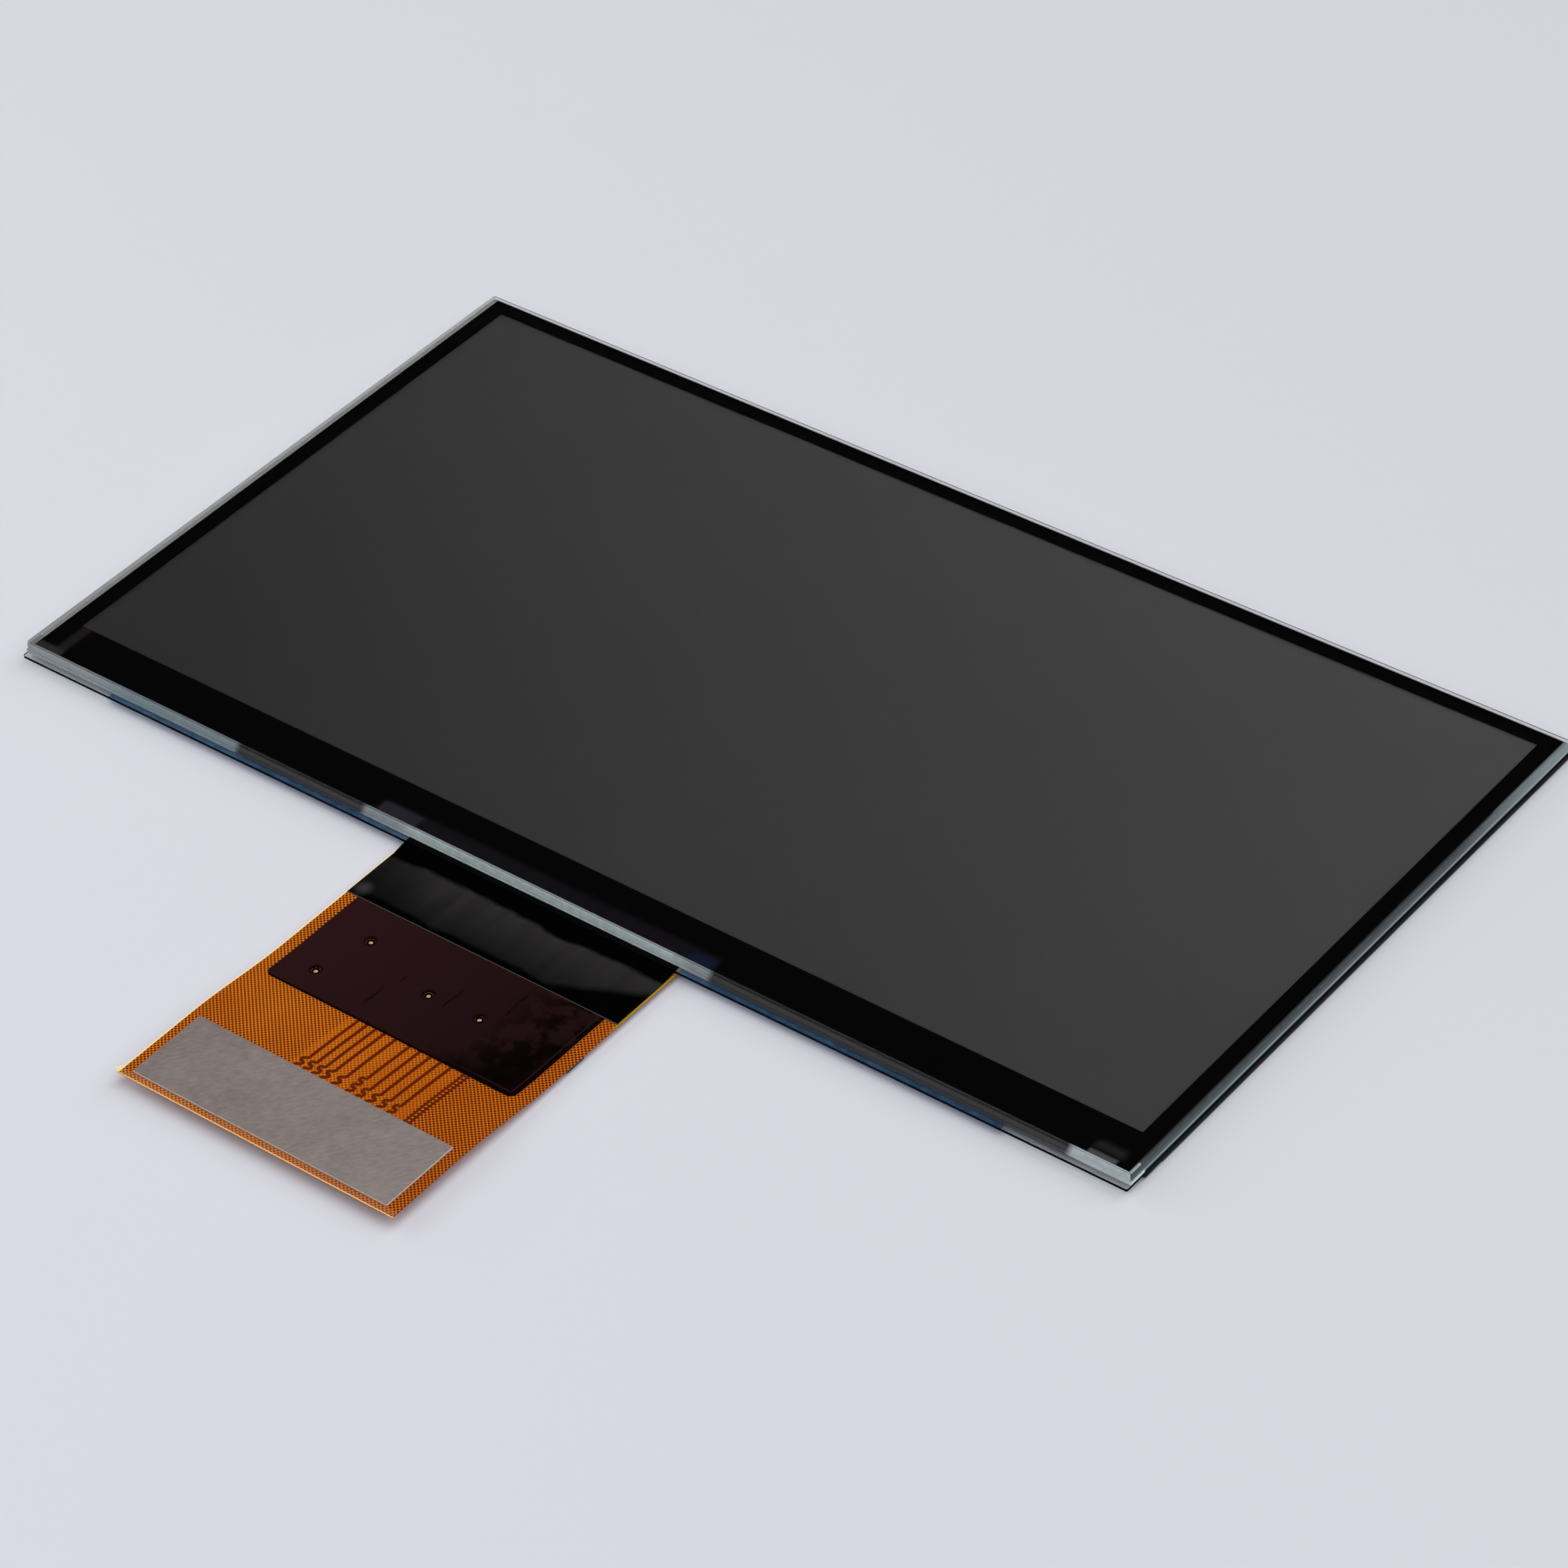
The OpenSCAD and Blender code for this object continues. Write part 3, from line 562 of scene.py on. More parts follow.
sparse = add(tree, "MapRange", {0: beside_traces, 3: 1.0, 4: SPARSE})
dots = add(tree, "Math", {0: dots, 1: sparse}, operation="MULTIPLY")
film_top = add(tree, "MapRange", {
    0: spot.y, 1: plate_high.y, 2: rise_start, 3: plate_low.z - GLUE_T, 4: tape_line[0][1] - TAPE_T,
}, **EASED)
above = add(tree, "Math", {0: spot.z, 1: film_top}, operation="SUBTRACT")
ridge = add(tree, "MapRange", {0: above, 1: RIDGE_FOOT[0], 2: RIDGE_FOOT[1]})
left = between(tree, spot.x, -tail_side - BEYOND, -tail_side + CLEAR_LEFT, LEFT_END_SOFT)
right = between(tree, spot.x, tail_side - CLEAR_RIGHT, tail_side + BEYOND, RIGHT_END_SOFT)
beside_tape = add(tree, "MapRange", {
    0: spot.y, 1: tape_low.y + MARGIN_START[0], 2: tape_low.y + MARGIN_START[1],
})
right = add(tree, "Math", {0: right, 1: beside_tape}, operation="MULTIPLY")
strip = between(tree, spot.y, film_low.y - BEYOND, plate_low.y, STRIP_SOFT)
strip = add(tree, "Math", {0: strip, 1: STRIP_SHARE}, operation="MULTIPLY")
end = between(tree, spot.y, film_low.y - BEYOND, film_low.y + CLEAR_END, CLEAR_END / 2)
paint(
    tree, shader, "#c4640c", (sheen_patches, "#d47218"), (deeper, "#b85602"), (dots, "#300c00"),
    (ridge, "#5c1e00"), (left, "#f3dda6"), (right, "#a8860f"), (strip, "#e0b48c"), (end, "#f0b878"),
)
pass_light(tree, shader, FILM_LIGHT)
dress("flex_coverlay", amber)


def round_openings(tree, spot, shift, radii, share):
    """Masks about the openings, moved by a shift: a share up to one radius, nothing past another"""
    flat = add(tree, "CombineXYZ", {0: spot.x, 1: spot.y})
    masks = []
    for centre in openings:
        away = add(tree, "VectorMath", {0: flat, 1: centre.to_3d() + shift}, operation="DISTANCE")
        masks.append(add(tree, "MapRange", {
            0: away.outputs["Value"], 1: radii[0], 2: radii[1], 3: share, 4: 0.0,
        }))
    return masks


# Polyimide base film: amber, near black on top inside the openings
BASE_PATCH = 2 * MM
# Distances from an opening's middle between which the dark ends
DARK_RADII = (0.7 * MM, 0.8 * MM)
base_film, tree, shader = finish("polyimide_base_film", "#b5651a", 0.35)
spot = whereabouts(tree)
cloudy = patches(tree, spot.point, BASE_PATCH, SHARP)
top = add(tree, "Math", {0: uprightness(tree), 1: 0.0}, operation="GREATER_THAN")
layers = []
for dark in round_openings(tree, spot, Vector((0, 0, 0)), DARK_RADII, 1.0):
    dark = add(tree, "Math", {0: dark, 1: top}, operation="MULTIPLY")
    layers.append((dark, "#060202"))
paint(tree, shader, "#b5651a", (cloudy, "#a35612"), *layers)
pass_light(tree, shader, FILM_LIGHT)
dress("flex_base", base_film)

# Gold plating of the pads: pinkish and satin
gold = mottled("gold_plating", "#eab892", "#cf9970", 0.2 * MM, 0.35, Metallic=0.3)
# Rim of the pads: near black
dark_rim = mottled("darkened_pad_rim", "#070303", "#040101", 0.2 * MM, 0.5, Specular_IOR_Level=0.0)

# Glossy black tape: black where it comes down over the ledge; where it lies on the tail, rougher, with
# a painted reflection of hazy grey and faint streaks; black again along its foot and in its right
# corner, a painted dull highlight near its left front corner, and a light cut edge

# Width and length of the streaks, and the share of the haze and its painted reflection that is left in
# them
STREAK = (1.5 * MM, 14 * MM)
STREAK_SHARE = 0.75
# Size and swing of the waves along the haze's borders, and the borders' softness
HAZE_WAVE = 6 * MM
HAZE_SWING = 0.4 * MM
HAZE_SOFT = 0.6 * MM
# The black foot in front of the haze, where the haze starts to get lighter, the stretch at the left
# over which it grows, and its share at the very left
BLACK_FOOT = 0.9 * MM
HAZE_FOOT = 1 * MM
HAZE_GROWTH = 9 * MM
HAZE_LEFT = 0.45
# Border of the dark corner: its slant, and its place and softness at the tape's front end
CORNER_SLANT = -0.43
CORNER_START = -3.5 * MM
CORNER_SOFT = 1.3 * MM
# A painted dull highlight near the left front corner: its place from there, its reach and its share
GLINT_X = 1.2 * MM
GLINT_Y = 1.5 * MM
GLINT_REACH = 1.6 * MM
GLINT_SHARE = 0.35
# Depth of the cut edge, and the roughness of the black and of the haze
CUT_EDGE = 0.12 * MM
BLACK_ROUGHNESS = 0.1
HAZE_ROUGHNESS = 0.45
glossy_tape, tree, shader = finish("glossy_black_tape", "#060606", 0.3, Specular_IOR_Level=0.05)
spot = whereabouts(tree)
swing = patches(tree, spot.point, HAZE_WAVE, GENTLE, -HAZE_SWING, HAZE_SWING, detail=2.0)
wavy = add(tree, "Math", {0: spot.y, 1: swing}, operation="ADD")
slant = add(tree, "Math", {0: spot.x, 1: CORNER_SLANT, 2: wavy}, operation="MULTIPLY_ADD")
corner_start = tape_low.y + CORNER_START
dark_corner = add(tree, "MapRange", {0: slant, 1: corner_start, 2: corner_start + CORNER_SOFT})
from_left = add(tree, "MapRange", {
    0: spot.x, 1: tape_low.x, 2: tape_low.x + HAZE_GROWTH, 3: HAZE_LEFT, 4: 1.0,
})
by_streak = (1 / STREAK[0], 1 / STREAK[1], 0)
stretched = add(tree, "VectorMath", {0: spot.point, 1: by_streak}, operation="MULTIPLY")
streaks = patches(tree, stretched, 1, GENTLE, STREAK_SHARE, 1.0, detail=2.0)
# Painted reflection: hazy grey where the tape lies on the tail, lighter towards the ledge
haze_and_reflection = between(tree, wavy, tape_low.y + BLACK_FOOT, touch_down, HAZE_SOFT)
for part in (dark_corner, from_left, streaks):
    haze_and_reflection = add(tree, "Math", {0: haze_and_reflection, 1: part}, operation="MULTIPLY")
upper = add(tree, "MapRange", {0: wavy, 1: tape_low.y + HAZE_FOOT, 2: touch_down})
reflection_tone = coats(tree, "#121111", (upper, "#2b2929"))
# Painted highlight near the left front corner
glint = (tape_low.x + GLINT_X, tape_low.y + GLINT_Y, shield_low.z)
away = add(tree, "VectorMath", {0: spot.point, 1: glint}, operation="DISTANCE").outputs["Value"]
lit = add(tree, "MapRange", {0: away, 1: 0.0, 2: GLINT_REACH, 3: GLINT_SHARE, 4: 0.0}, **EASED)
cut_edge = between(tree, spot.y, tape_low.y - BEYOND, tape_low.y + CUT_EDGE, CUT_EDGE / 2)
paint(tree, shader, "#020202", (haze_and_reflection, reflection_tone), (lit, "#555353"), (cut_edge, "#4c4648"))
gloss = add(tree, "MapRange", {0: haze_and_reflection, 3: BLACK_ROUGHNESS, 4: HAZE_ROUGHNESS})
tree.links.new(gloss.outputs[0], shader.inputs["Roughness"])

# Shielding film: dark maroon, black blotches towards its right end, dark edges, painted shade in its
# creases and beside its dimples, and a painted highlight along a line pressed in near its edge

# Each crease in millimetres: its middle across, its back and its front end
SHIELD_CREASES = ((-4.5, -61.2, -62.2), (-5.5, -64, -67.2), (2.1, -59.4, -63), (8.6, -55.9, -60.1))
# Half the width of a crease's painted shade, its softness across and at its ends, and how far it wavers
CREASE_HALF = 0.1 * MM
CREASE_SOFT = 0.3 * MM
CREASE_END_SOFT = 1 * MM
CREASE_WAVER = 0.25 * MM
# The painted shade of a dimple lies to the left of its opening and behind it, and ends between two radii
DIMPLE_SHIFT = Vector((-0.15, 0.15, 0)) * MM
DIMPLE_RADII = (0.6 * MM, 0.95 * MM)
DIMPLE_SHARE = 0.9
# Size of the blotches, their levels of noise, and the stretch across over which they set in
BLOTCH = 2.2 * MM
BLOTCH_LEVELS = (0.45, 0.55)
BLOTCH_START = (7 * MM, 15 * MM)
BLOTCH_BLACK = "#070202"
# Border of the dark corner: its slant, the stretch over which it sets in, its swing and its share
WRINKLE_SLANT = -1.1
WRINKLE_START = (80 * MM, 87 * MM)
WRINKLE_SWING = 2 * MM
WRINKLE_SHARE = 0.85
# Distances from the edge: where its dark ends, and of the painted highlight along a line pressed in
# beside it
DARK_EDGE = (0.15 * MM, 0.35 * MM)
PRESSED = (0.65 * MM, 0.75 * MM)
PRESSED_SOFT = 0.12 * MM
shield_maroon, tree, shader = finish("shielding_film", "#271315", 0.25, Specular_IOR_Level=0.05)
spot = whereabouts(tree)
across = add(tree, "MapRange", {0: spot.x, 1: shield_low.x, 2: shield_high.x})
waves = add(tree, "TexNoise", {"Vector": spot.point, "Scale": 1 / BLOTCH, "Detail": 3.0})
blotch = add(tree, "MapRange", {0: waves, 1: BLOTCH_LEVELS[0], 2: BLOTCH_LEVELS[1]})
right_end = add(tree, "MapRange", {0: spot.x, 1: BLOTCH_START[0], 2: BLOTCH_START[1]})
blotch = add(tree, "Math", {0: blotch, 1: right_end}, operation="MULTIPLY")
swing = add(tree, "MapRange", {
    0: waves, 1: GENTLE[0], 2: GENTLE[1], 3: -WRINKLE_SWING, 4: WRINKLE_SWING,
})
slant = add(tree, "Math", {0: spot.y, 1: WRINKLE_SLANT, 2: spot.x}, operation="MULTIPLY_ADD")
slant = add(tree, "Math", {0: slant, 1: swing}, operation="ADD")
corner = add(tree, "MapRange", {
    0: slant, 1: WRINKLE_START[0], 2: WRINKLE_START[1], 3: 0.0, 4: WRINKLE_SHARE,
})
layers = [(across, "#1c0d0e"), (blotch, BLOTCH_BLACK), (corner, BLOTCH_BLACK)]
waver = add(tree, "MapRange", {
    0: waves, 1: GENTLE[0], 2: GENTLE[1], 3: -CREASE_WAVER, 4: CREASE_WAVER,
})
bent = add(tree, "Math", {0: spot.x, 1: waver}, operation="ADD")
# Painted shade in the creases
for middle, back, front in SHIELD_CREASES:
    line = between(tree, bent, middle * MM - CREASE_HALF, middle * MM + CREASE_HALF, CREASE_SOFT)
    run = between(tree, spot.y, front * MM, back * MM, CREASE_END_SOFT)
    crease_shade = add(tree, "Math", {0: line, 1: run}, operation="MULTIPLY")
    layers.append((crease_shade, "#0b0304"))
# Painted shade to the left of each opening and behind it
for dark in round_openings(tree, spot, DIMPLE_SHIFT, DIMPLE_RADII, DIMPLE_SHARE):
    layers.append((dark, "#0a0304"))
from_front = add(tree, "Math", {0: spot.y, 1: shield_low.y}, operation="SUBTRACT")
from_right = add(tree, "Math", {0: shield_high.x, 1: spot.x}, operation="SUBTRACT")
inside = add(tree, "Math", {0: from_front, 1: from_right}, operation="MINIMUM")
edge = add(tree, "MapRange", {0: inside, 1: DARK_EDGE[0], 2: DARK_EDGE[1], 3: 1.0, 4: 0.0})
# Painted highlight along the pressed line
pressed_highlight = between(tree, inside, *PRESSED, PRESSED_SOFT)
pressed_highlight = add(tree, "Math", {0: pressed_highlight, 1: right_end}, operation="MULTIPLY")
paint(tree, shader, "#281416", *layers, (edge, "#080303"), (pressed_highlight, "#2c1a1c"))

# Steel stiffener: matte warm grey with cloudy mottling, a fine slanting grain, and painted light that
# makes its right end lighter

# Width and length of the grain, its turn and its share beside the clouds
GRAIN = (0.35 * MM, 1.2 * MM)
GRAIN_TURN = math.radians(40)
GRAIN_SHARE = 0.45
CLOUD = 4 * MM
# How much the painted light lightens the right end
LIGHTER_RIGHT = 0.12
steel, tree, shader = finish("matte_rolled_steel", "#8a827e", 0.5, Metallic=0.35)
spot = whereabouts(tree)
clouds = add(tree, "TexNoise", {
    "Vector": spot.point, "Scale": 1 / CLOUD, "Detail": 8.0, "Roughness": 0.75,
})
turned = add(tree, "VectorRotate", {"Vector": spot.point, "Angle": GRAIN_TURN}, rotation_type="Z_AXIS")
by_grain = (1 / GRAIN[0], 1 / GRAIN[1], 0)
drawn = add(tree, "VectorMath", {0: turned, 1: by_grain}, operation="MULTIPLY")
grain = add(tree, "TexNoise", {"Vector": drawn, "Scale": 1.0, "Detail": 3.0})
share = add(tree, "Mix", {0: GRAIN_SHARE, 2: clouds, 3: grain})
share = add(tree, "MapRange", {0: share, 1: SHARP[0], 2: SHARP[1]})
# Painted light towards the right end
across = add(tree, "MapRange", {0: spot.x, 1: plate_low.x, 2: plate_high.x, 3: 0.0, 4: LIGHTER_RIGHT})
paint(tree, shader, "#746965", (share, "#908682"), (across, "#b8aca8"))

# Sheared edges of the stiffener: bright along the top, partly a painted highlight, and dull below,
# partly painted shade over the glue, with the change at these depths
SHEAR_DEPTHS = (0.13 * MM, 0.08 * MM)
bright_steel, tree, shader = finish("sheared_steel_edge", "#f4e8e2", 0.3)
upper = add(tree, "MapRange", {
    0: whereabouts(tree).z, 1: plate_high.z - SHEAR_DEPTHS[0], 2: plate_high.z - SHEAR_DEPTHS[1],
})
paint(tree, shader, "#8a7263", (upper, "#f4e8e2"))

# Finishes of the other solids: two tones, the size of their patches in millimetres, the roughness
METAL = {"Metallic": 1.0}
for node, name, first, second, size, roughness, surface in (
    # Counter glass: its edge is dark with the black panel behind it
    ("front_glass", "panel_glass_over_black", "#2b3035", "#22272b", 6, 0.4, {"Specular_IOR_Level": 0.0}),
    # Epoxy seal: pale grey and slightly cloudy
    ("cell_seal", "seal_epoxy", "#8f9294", "#7d8183", 1.5, 0.4, {}),
    # Liquid crystal: a dark, smooth fluid
    ("liquid_crystal", "liquid_crystal_fluid", "#2a2c2e", "#232527", 8, 0.2, {}),
    # Silicon: polished dark grey
    ("driver_chips", "polished_silicon", "#55575c", "#47494f", 0.6, 0.15, {}),
    # Masking tape: black with a dull shine
    ("shade_tapes", "black_masking_tape", "#0b0b0c", "#131314", 0.8, 0.4, {}),
    # Conductive film: cured, grainy and beige
    ("bond_strip", "conductive_bond_film", "#a39d8c", "#8d8778", 0.3, 0.5, {}),
    # Copper foil: rolled, reddish brown
    ("flex_copper", "rolled_copper_foil", "#b06a3c", "#9a5a30", 0.5, 0.3, METAL),
    # Cured glue: cream, uneven
    ("stiffener_glue", "cured_glue", "#d8cfae", "#c8be9c", 0.8, 0.5, {}),
    # Nylon: moulded, matte cream
    ("plug_housing", "moulded_nylon", "#cfc6ad", "#c2b89d", 0.7, 0.5, {}),
    # Gold plating on formed contacts: bright yellow
    ("plug_contacts", "gold_plated_contact", "#d9ad62", "#c79a50", 0.15, 0.3, METAL),
    # Tin plating on formed clips: soft silver
    ("plug_clips", "tin_plated_clip", "#c9c9c6", "#b5b5b2", 0.2, 0.35, METAL),
    # Moulded epoxy: matte black
    ("memory_chip", "moulded_epoxy", "#101011", "#19191a", 0.12, 0.6, {}),
    # Fired ceramic: brown with a slight shine
    ("chip_capacitors", "capacitor_ceramic", "#8a6038", "#7a532f", 0.12, 0.45, {}),
    # Dipped tin: dull silver
    ("capacitor_ends", "tin_plating", "#c2c2bf", "#aeaeab", 0.12, 0.4, METAL),
):
    dress(node, mottled(name, first, second, size * MM, roughness, **surface))


def slab(name, low, high):
    """A box between two corners, with its place in its mesh"""
    deselect()
    bpy.ops.mesh.primitive_cube_add(size=1, location=(low + high) / 2)
    piece = bpy.context.object
    piece.name = name
    piece.scale = high - low
    bpy.ops.object.transform_apply(location=True, rotation=True, scale=True)
    return piece


def bevel_edges(piece, chosen, width, segments):
    """Bevels the edges of a piece whose two ends pass a test"""
    bpy.ops.object.mode_set(mode="EDIT")
    bpy.ops.mesh.select_mode(type="EDGE")
    bpy.ops.mesh.select_all(action="DESELECT")
    bpy.ops.object.mode_set(mode="OBJECT")
    for edge in piece.data.edges:
        edge.select = chosen(*(piece.data.vertices[i].co for i in edge.vertices))
    bpy.ops.object.mode_set(mode="EDIT")
    bpy.ops.mesh.bevel(offset=width, segments=segments, affect="EDGES")
    bpy.ops.object.mode_set(mode="OBJECT")


def upright(a, b):
    """Whether an edge stands upright"""
    return abs((b - a).normalized().z) > 0.9


def rim_at(height):
    """A test for the edges that lie at a height"""
    return lambda a, b: all(abs(end.z - height) < SAME_HEIGHT for end in (a, b))


def place_piece(piece, node, slot, *materials):
    """Gives a piece its materials and puts it in the place of a solid"""
    for material in materials:
        piece.data.materials.append(material)
    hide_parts(node)
    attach(piece, "root")


def finish_faces(piece, chosen, number):
    """Gives one of its materials to the faces of a piece whose outward direction passes a test"""
    for face in piece.data.polygons:
        if chosen(face.normal):
            face.material_index = number


# Numbers of a piece's materials after the first
EDGE, UNDERSIDE, BACK_EDGE = 1, 2, 3
# Step inwards from a bonded face
bond_step = Vector((0, 0, BOND_GAP))

# Cover glass: corners cut, edges chamfered, underside bonded
cover = slab("cover_glass_pane", cover_low + bond_step, cover_high)
bevel_edges(cover, upright, CORNER_CUT, 1)
bevel_edges(cover, rim_at(cover_high.z), EDGE_CHAMFER, 2)
bevel_edges(cover, rim_at(cover_low.z + BOND_GAP), EDGE_CHAMFER, 2)
place_piece(cover, "cover_glass", "cover_glass", clear_glass, ground, bonded, lit_edge)
finish_faces(cover, lambda way: way.z < 0.9, EDGE)
finish_faces(cover, lambda way: way.y > 0.5, BACK_EDGE)
finish_faces(cover, lambda way: way.z < -0.9, UNDERSIDE)

# Adhesive sheet: seen through from above, its cut edge shows at the sides
PRINT_ROOM = 0.03 * MM
ADHESIVE_ROUNDING = 0.2 * MM
adhesive = slab("adhesive_sheet", adhesive_low + bond_step, adhesive_high - Vector((0, 0, PRINT_ROOM)))
bevel_edges(adhesive, upright, ADHESIVE_ROUNDING, 2)
place_piece(adhesive, "optical_adhesive", "clear_adhesive", bonded, adhesive_edge)
finish_faces(adhesive, lambda way: abs(way.z) < 0.5, EDGE)

# Array glass: a clear pane with cut corners, whose lip shows what lies under it
ARRAY_CUT = 0.15 * MM
pane = slab("array_glass_pane", array_low + bond_step, array_high - bond_step)
bevel_edges(pane, upright, ARRAY_CUT, 1)
place_piece(pane, "array_glass", "panel_glass", wired_glass, scored)
finish_faces(pane, lambda way: abs(way.z) < 0.5, EDGE)


def film_sheet(name, low, high, fields, height, thickness):
    """A film over a rectangle, in so many fields across and along, raised to a height at each place,
    with its thickness below"""
    deselect()
    middle = (low + high) / 2
    bpy.ops.mesh.primitive_grid_add(x_subdivisions=fields[0], y_subdivisions=fields[1], size=1,
                                    location=(middle.x, middle.y, 0))
    piece = bpy.context.object
    piece.name = name
    piece.scale = (high.x - low.x, high.y - low.y, 1)
    bpy.ops.object.transform_apply(location=True, rotation=True, scale=True)
    for vertex in piece.data.vertices:
        vertex.co.z = height(vertex.co.x, vertex.co.y)
    shell = piece.modifiers.new("thickness", "SOLIDIFY")
    shell.thickness = thickness
    shell.offset = -1
    bpy.ops.object.modifier_apply(modifier="thickness")
    bpy.ops.object.shade_smooth_by_angle(angle=math.radians(40))
    return piece


# Black tape: drawn down over the ledge, slack in shallow folds along the tail
TAPE_FIELDS = (160, 44)
TAPE_FOLD = 0.01 * MM
# Width and length of the folds, and of the swells across them
FOLD = (2.2 * MM, 12 * MM)
SWELL = (6 * MM, 3 * MM)
# Margins at its back and its front that stay flat
TAPE_HELD_BACK = 2 * MM
TAPE_HELD_FRONT = 1 * MM


def tape_height(x, y):
    """Height of the tape's top at a place"""
    folds = noise.noise(Vector((x / FOLD[0], y / FOLD[1], 0.3)))
    swell = noise.noise(Vector((x / SWELL[0], y / SWELL[1], 4.1)))
    free = min(1, (tape_high.y - y) / TAPE_HELD_BACK, (y - tape_low.y) / TAPE_HELD_FRONT)
    return height_on(tape_line, y) + TAPE_FOLD * (0.5 + 0.35 * folds + 0.35 * swell) * max(0, free)


tape = film_sheet("black_bond_tape", tape_low, tape_high, TAPE_FIELDS, tape_height, TAPE_T)
place_piece(tape, "bond_tape", "black_tape", glossy_tape)

# Shielding film: shallow creases, a wrinkled corner and dimpled openings
SHIELD_FIELDS = (220, 96)
OUTLINE_ROUNDING = 0.99 * MM
# How far to each side the film evens out a bend of the tail
SHIELD_BRIDGE = 2 * MM
SHIELD_LIFT = 0.02 * MM
# Height and length of the waves
SHIELD_WAVE = 0.01 * MM
SHIELD_WAVE_L = 5 * MM
# Height, width and length of the wrinkles, and where the wrinkled corner sets in and over what length
WRINKLE = 0.02 * MM
WRINKLE_W = 1.6 * MM
WRINKLE_L = 1.1 * MM
WRINKLED_X, WRINKLED_X_RUN = 4 * MM, 10 * MM
WRINKLED_Y, WRINKLED_Y_RUN = -60 * MM, 6 * MM
CREASE_DEPTH = 0.01 * MM
CREASE_W = 0.2 * MM
DIMPLE_DEPTH = 0.05 * MM
DIMPLE_W = 0.9 * MM


def groove(distance, width):
    """Share of a groove's depth at a distance from its middle"""
    return math.exp(-(distance / width) ** 2)


def shield_height(x, y):
    """Height of the shielding film's top at a place"""
    point = Vector((x, y))
    bridge = min(SHIELD_BRIDGE, y - shield_low.y)
    nearby = [height_on(shield_line, y + bridge * share) for share in (-1, -0.5, 0, 0.5, 1)]
    rise = sum(nearby) / len(nearby) + SHIELD_LIFT
    rise += SHIELD_WAVE * noise.noise(Vector((x / SHIELD_WAVE_L, y / SHIELD_WAVE_L, 2.2)))
    corner = max(0, min(1, (x - WRINKLED_X) / WRINKLED_X_RUN))
    corner *= max(0, min(1, (WRINKLED_Y - y) / WRINKLED_Y_RUN))
    rise += WRINKLE * corner * noise.noise(Vector((x / WRINKLE_W, y / WRINKLE_L, 7.7)))
    for middle, back, front in SHIELD_CREASES:
        away = max(abs(x - middle * MM), front * MM - y, y - back * MM)
        rise -= CREASE_DEPTH * groove(away, CREASE_W)
    for centre in openings:
        rise -= DIMPLE_DEPTH * groove((point - centre).length, DIMPLE_W)
    return rise


def cut(piece, cutter, way):
    """Keeps or takes away what a cutter covers, and removes the cutter"""
    bpy.context.view_layer.objects.active = piece
    step = piece.modifiers.new("cut", "BOOLEAN")
    step.operation = way
    step.solver = "EXACT"
    step.object = cutter
    bpy.ops.object.modifier_apply(modifier="cut")
    deselect()
    cutter.select_set(True)
    bpy.ops.object.delete()


ROUND_SIDES = 32


def drum(centre, radius, low, high):
    """A round block about the middle of an opening, between two heights"""
    deselect()
    bpy.ops.mesh.primitive_cylinder_add(vertices=ROUND_SIDES, radius=radius, depth=high - low,
                                        location=(centre.x, centre.y, (low + high) / 2))
    return bpy.context.object


shield = film_sheet("shield_sheet", shield_low, shield_high, SHIELD_FIELDS, shield_height, SHIELD_T)
outline_low = shield_low - Vector((0, 0, BEYOND))
outline_high = shield_high + Vector((0, BEYOND, BEYOND))
outline = slab("shield_outline", outline_low, outline_high)
bevel_edges(outline, upright, OUTLINE_ROUNDING, 6)
cut(shield, outline, "INTERSECT")
for centre in openings:
    punch = drum(centre, OPENING / 2, shield_high.z - 2 * BEYOND, shield_high.z + 2 * BEYOND)
    cut(shield, punch, "DIFFERENCE")
place_piece(shield, "shield_film", "shield_film", shield_maroon)

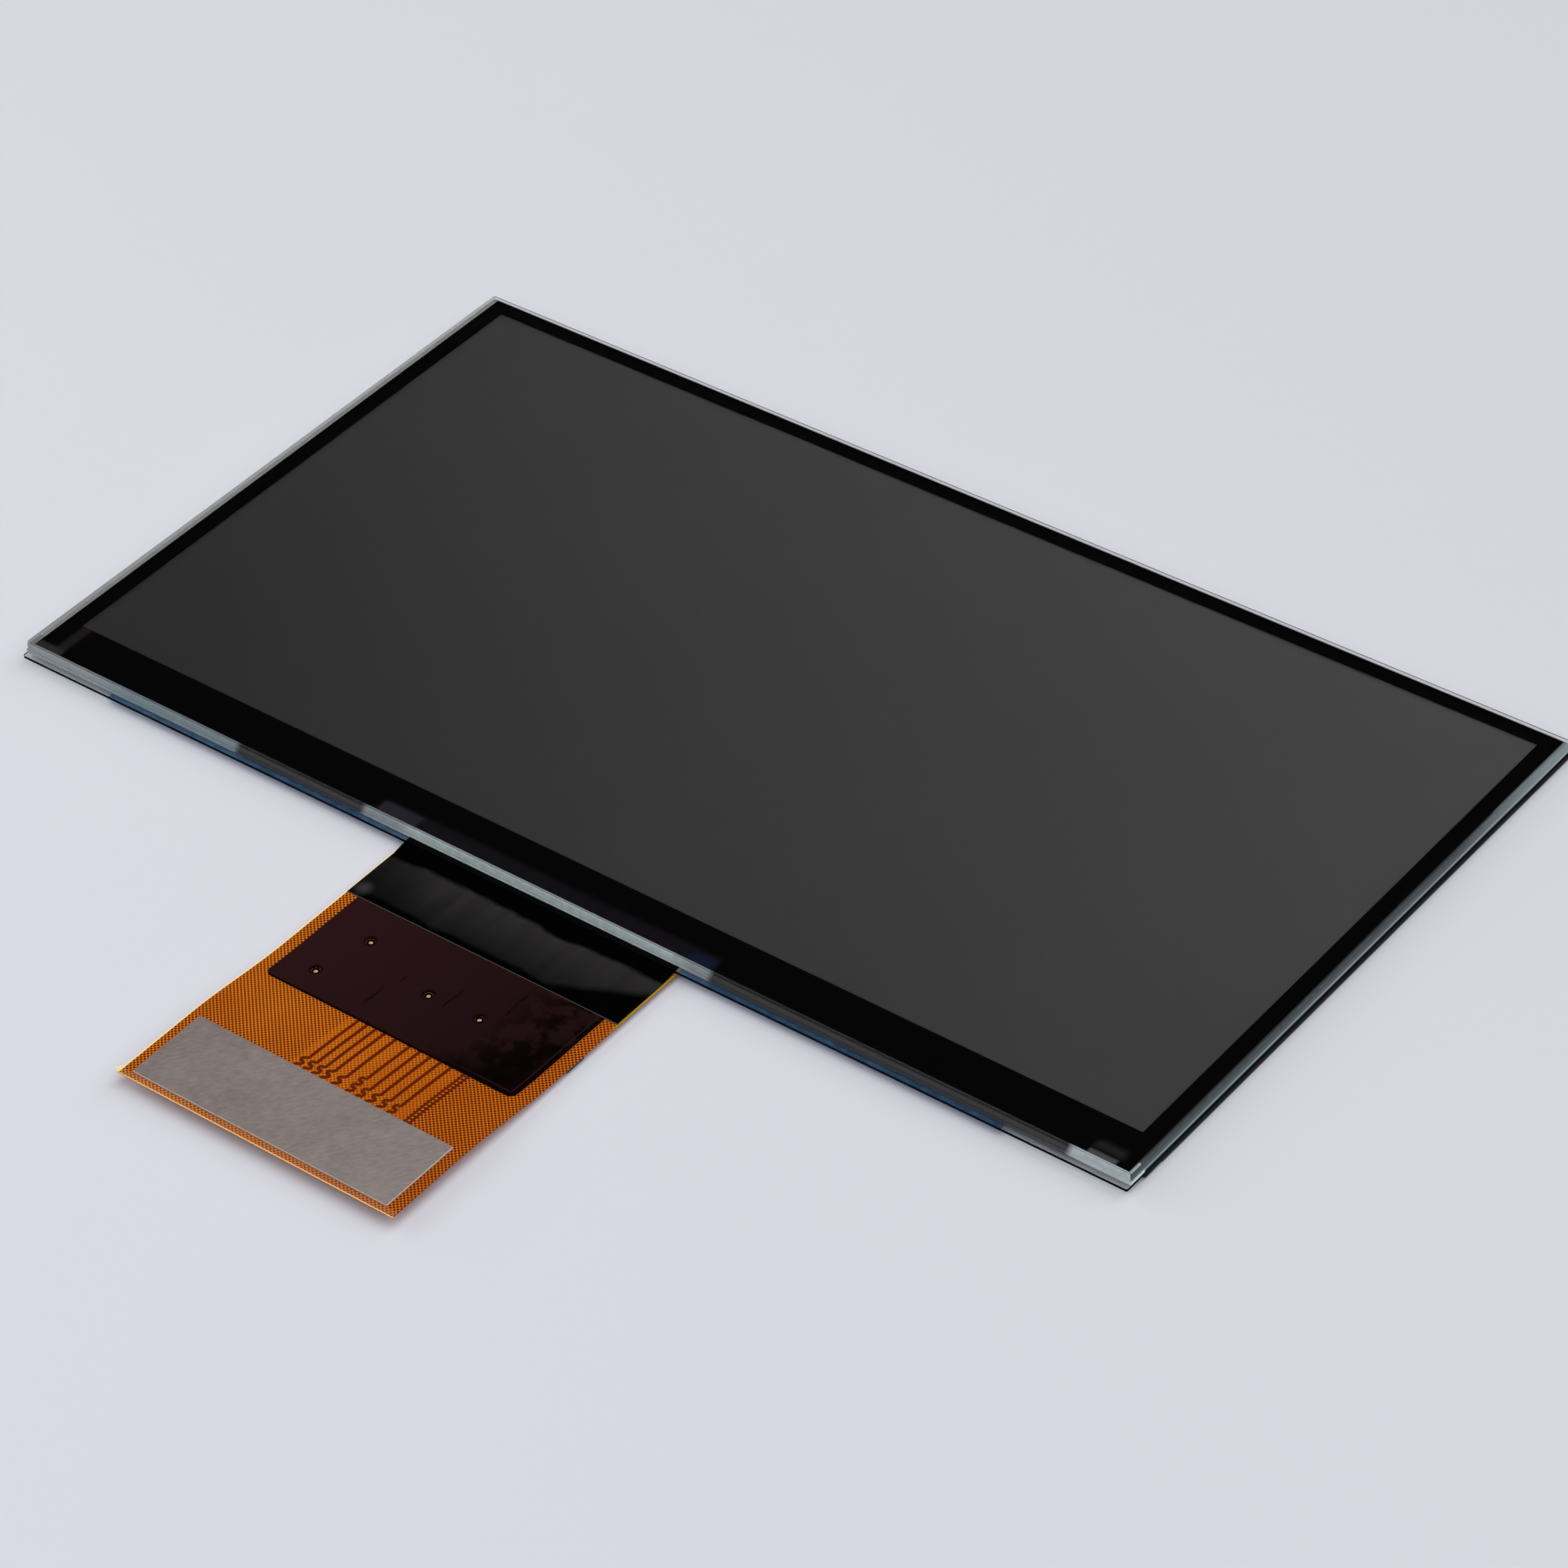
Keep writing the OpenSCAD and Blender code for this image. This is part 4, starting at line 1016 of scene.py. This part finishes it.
# Pads in the openings: round dishes of gold-plated copper, whose hollow lies a little to one side
PAD_RADIUS = 0.425 * MM
PAD_T = 0.16 * MM
PAD_RIM = 0.08 * MM
PAD_DISH = 0.1 * MM
DISH_STEP = 0.05 * MM
DISH_SHIFT = 0.03 * MM
KNOB_STEP = 0.1 * MM
KNOB_RISE = 0.03 * MM
dishes = []
for centre in openings:
    top = height_on(shield_line, centre.y)
    dish = drum(centre, PAD_RADIUS, top - PAD_T, top)
    bpy.ops.object.transform_apply(location=True)
    bpy.ops.object.mode_set(mode="EDIT")
    bpy.ops.mesh.select_mode(type="FACE")
    bpy.ops.mesh.select_all(action="DESELECT")
    bpy.ops.object.mode_set(mode="OBJECT")
    for face in dish.data.polygons:
        face.select = face.normal.z > 0.9
    bpy.ops.object.mode_set(mode="EDIT")
    bpy.ops.mesh.inset(thickness=PAD_RIM)
    for share in (0.6, 0.4):
        bpy.ops.mesh.inset(thickness=DISH_STEP)
        bpy.ops.transform.translate(value=(DISH_SHIFT, -DISH_SHIFT, -PAD_DISH * share))
    dish.data.materials.append(dark_rim)
    dish.data.materials.append(gold)
    dish.active_material_index = 1
    bpy.ops.object.material_slot_assign()
    bpy.ops.mesh.inset(thickness=KNOB_STEP)
    bpy.ops.transform.translate(value=(0, 0, KNOB_RISE))
    bpy.ops.object.mode_set(mode="OBJECT")
    bpy.ops.object.shade_smooth_by_angle(angle=math.radians(60))
    dishes.append(dish)
deselect()
for dish in dishes:
    dish.select_set(True)
bpy.context.view_layer.objects.active = dishes[0]
bpy.ops.object.join()
pads = bpy.context.object
pads.name = "plated_pads"
place_piece(pads, "ground_pads", "gold_plating")

# Stiffener: rounded corners and a broken upper edge
PLATE_ROUNDING = 0.2 * MM
PLATE_BREAK = 0.06 * MM
plate = slab("stiffener_sheet", plate_low, plate_high)
bevel_edges(plate, upright, PLATE_ROUNDING, 4)
bevel_edges(plate, rim_at(plate_high.z), PLATE_BREAK, 2)
place_piece(plate, "stiffener_plate", "steel", steel, bright_steel)
finish_faces(plate, lambda way: abs(way.z) < 0.9, EDGE)
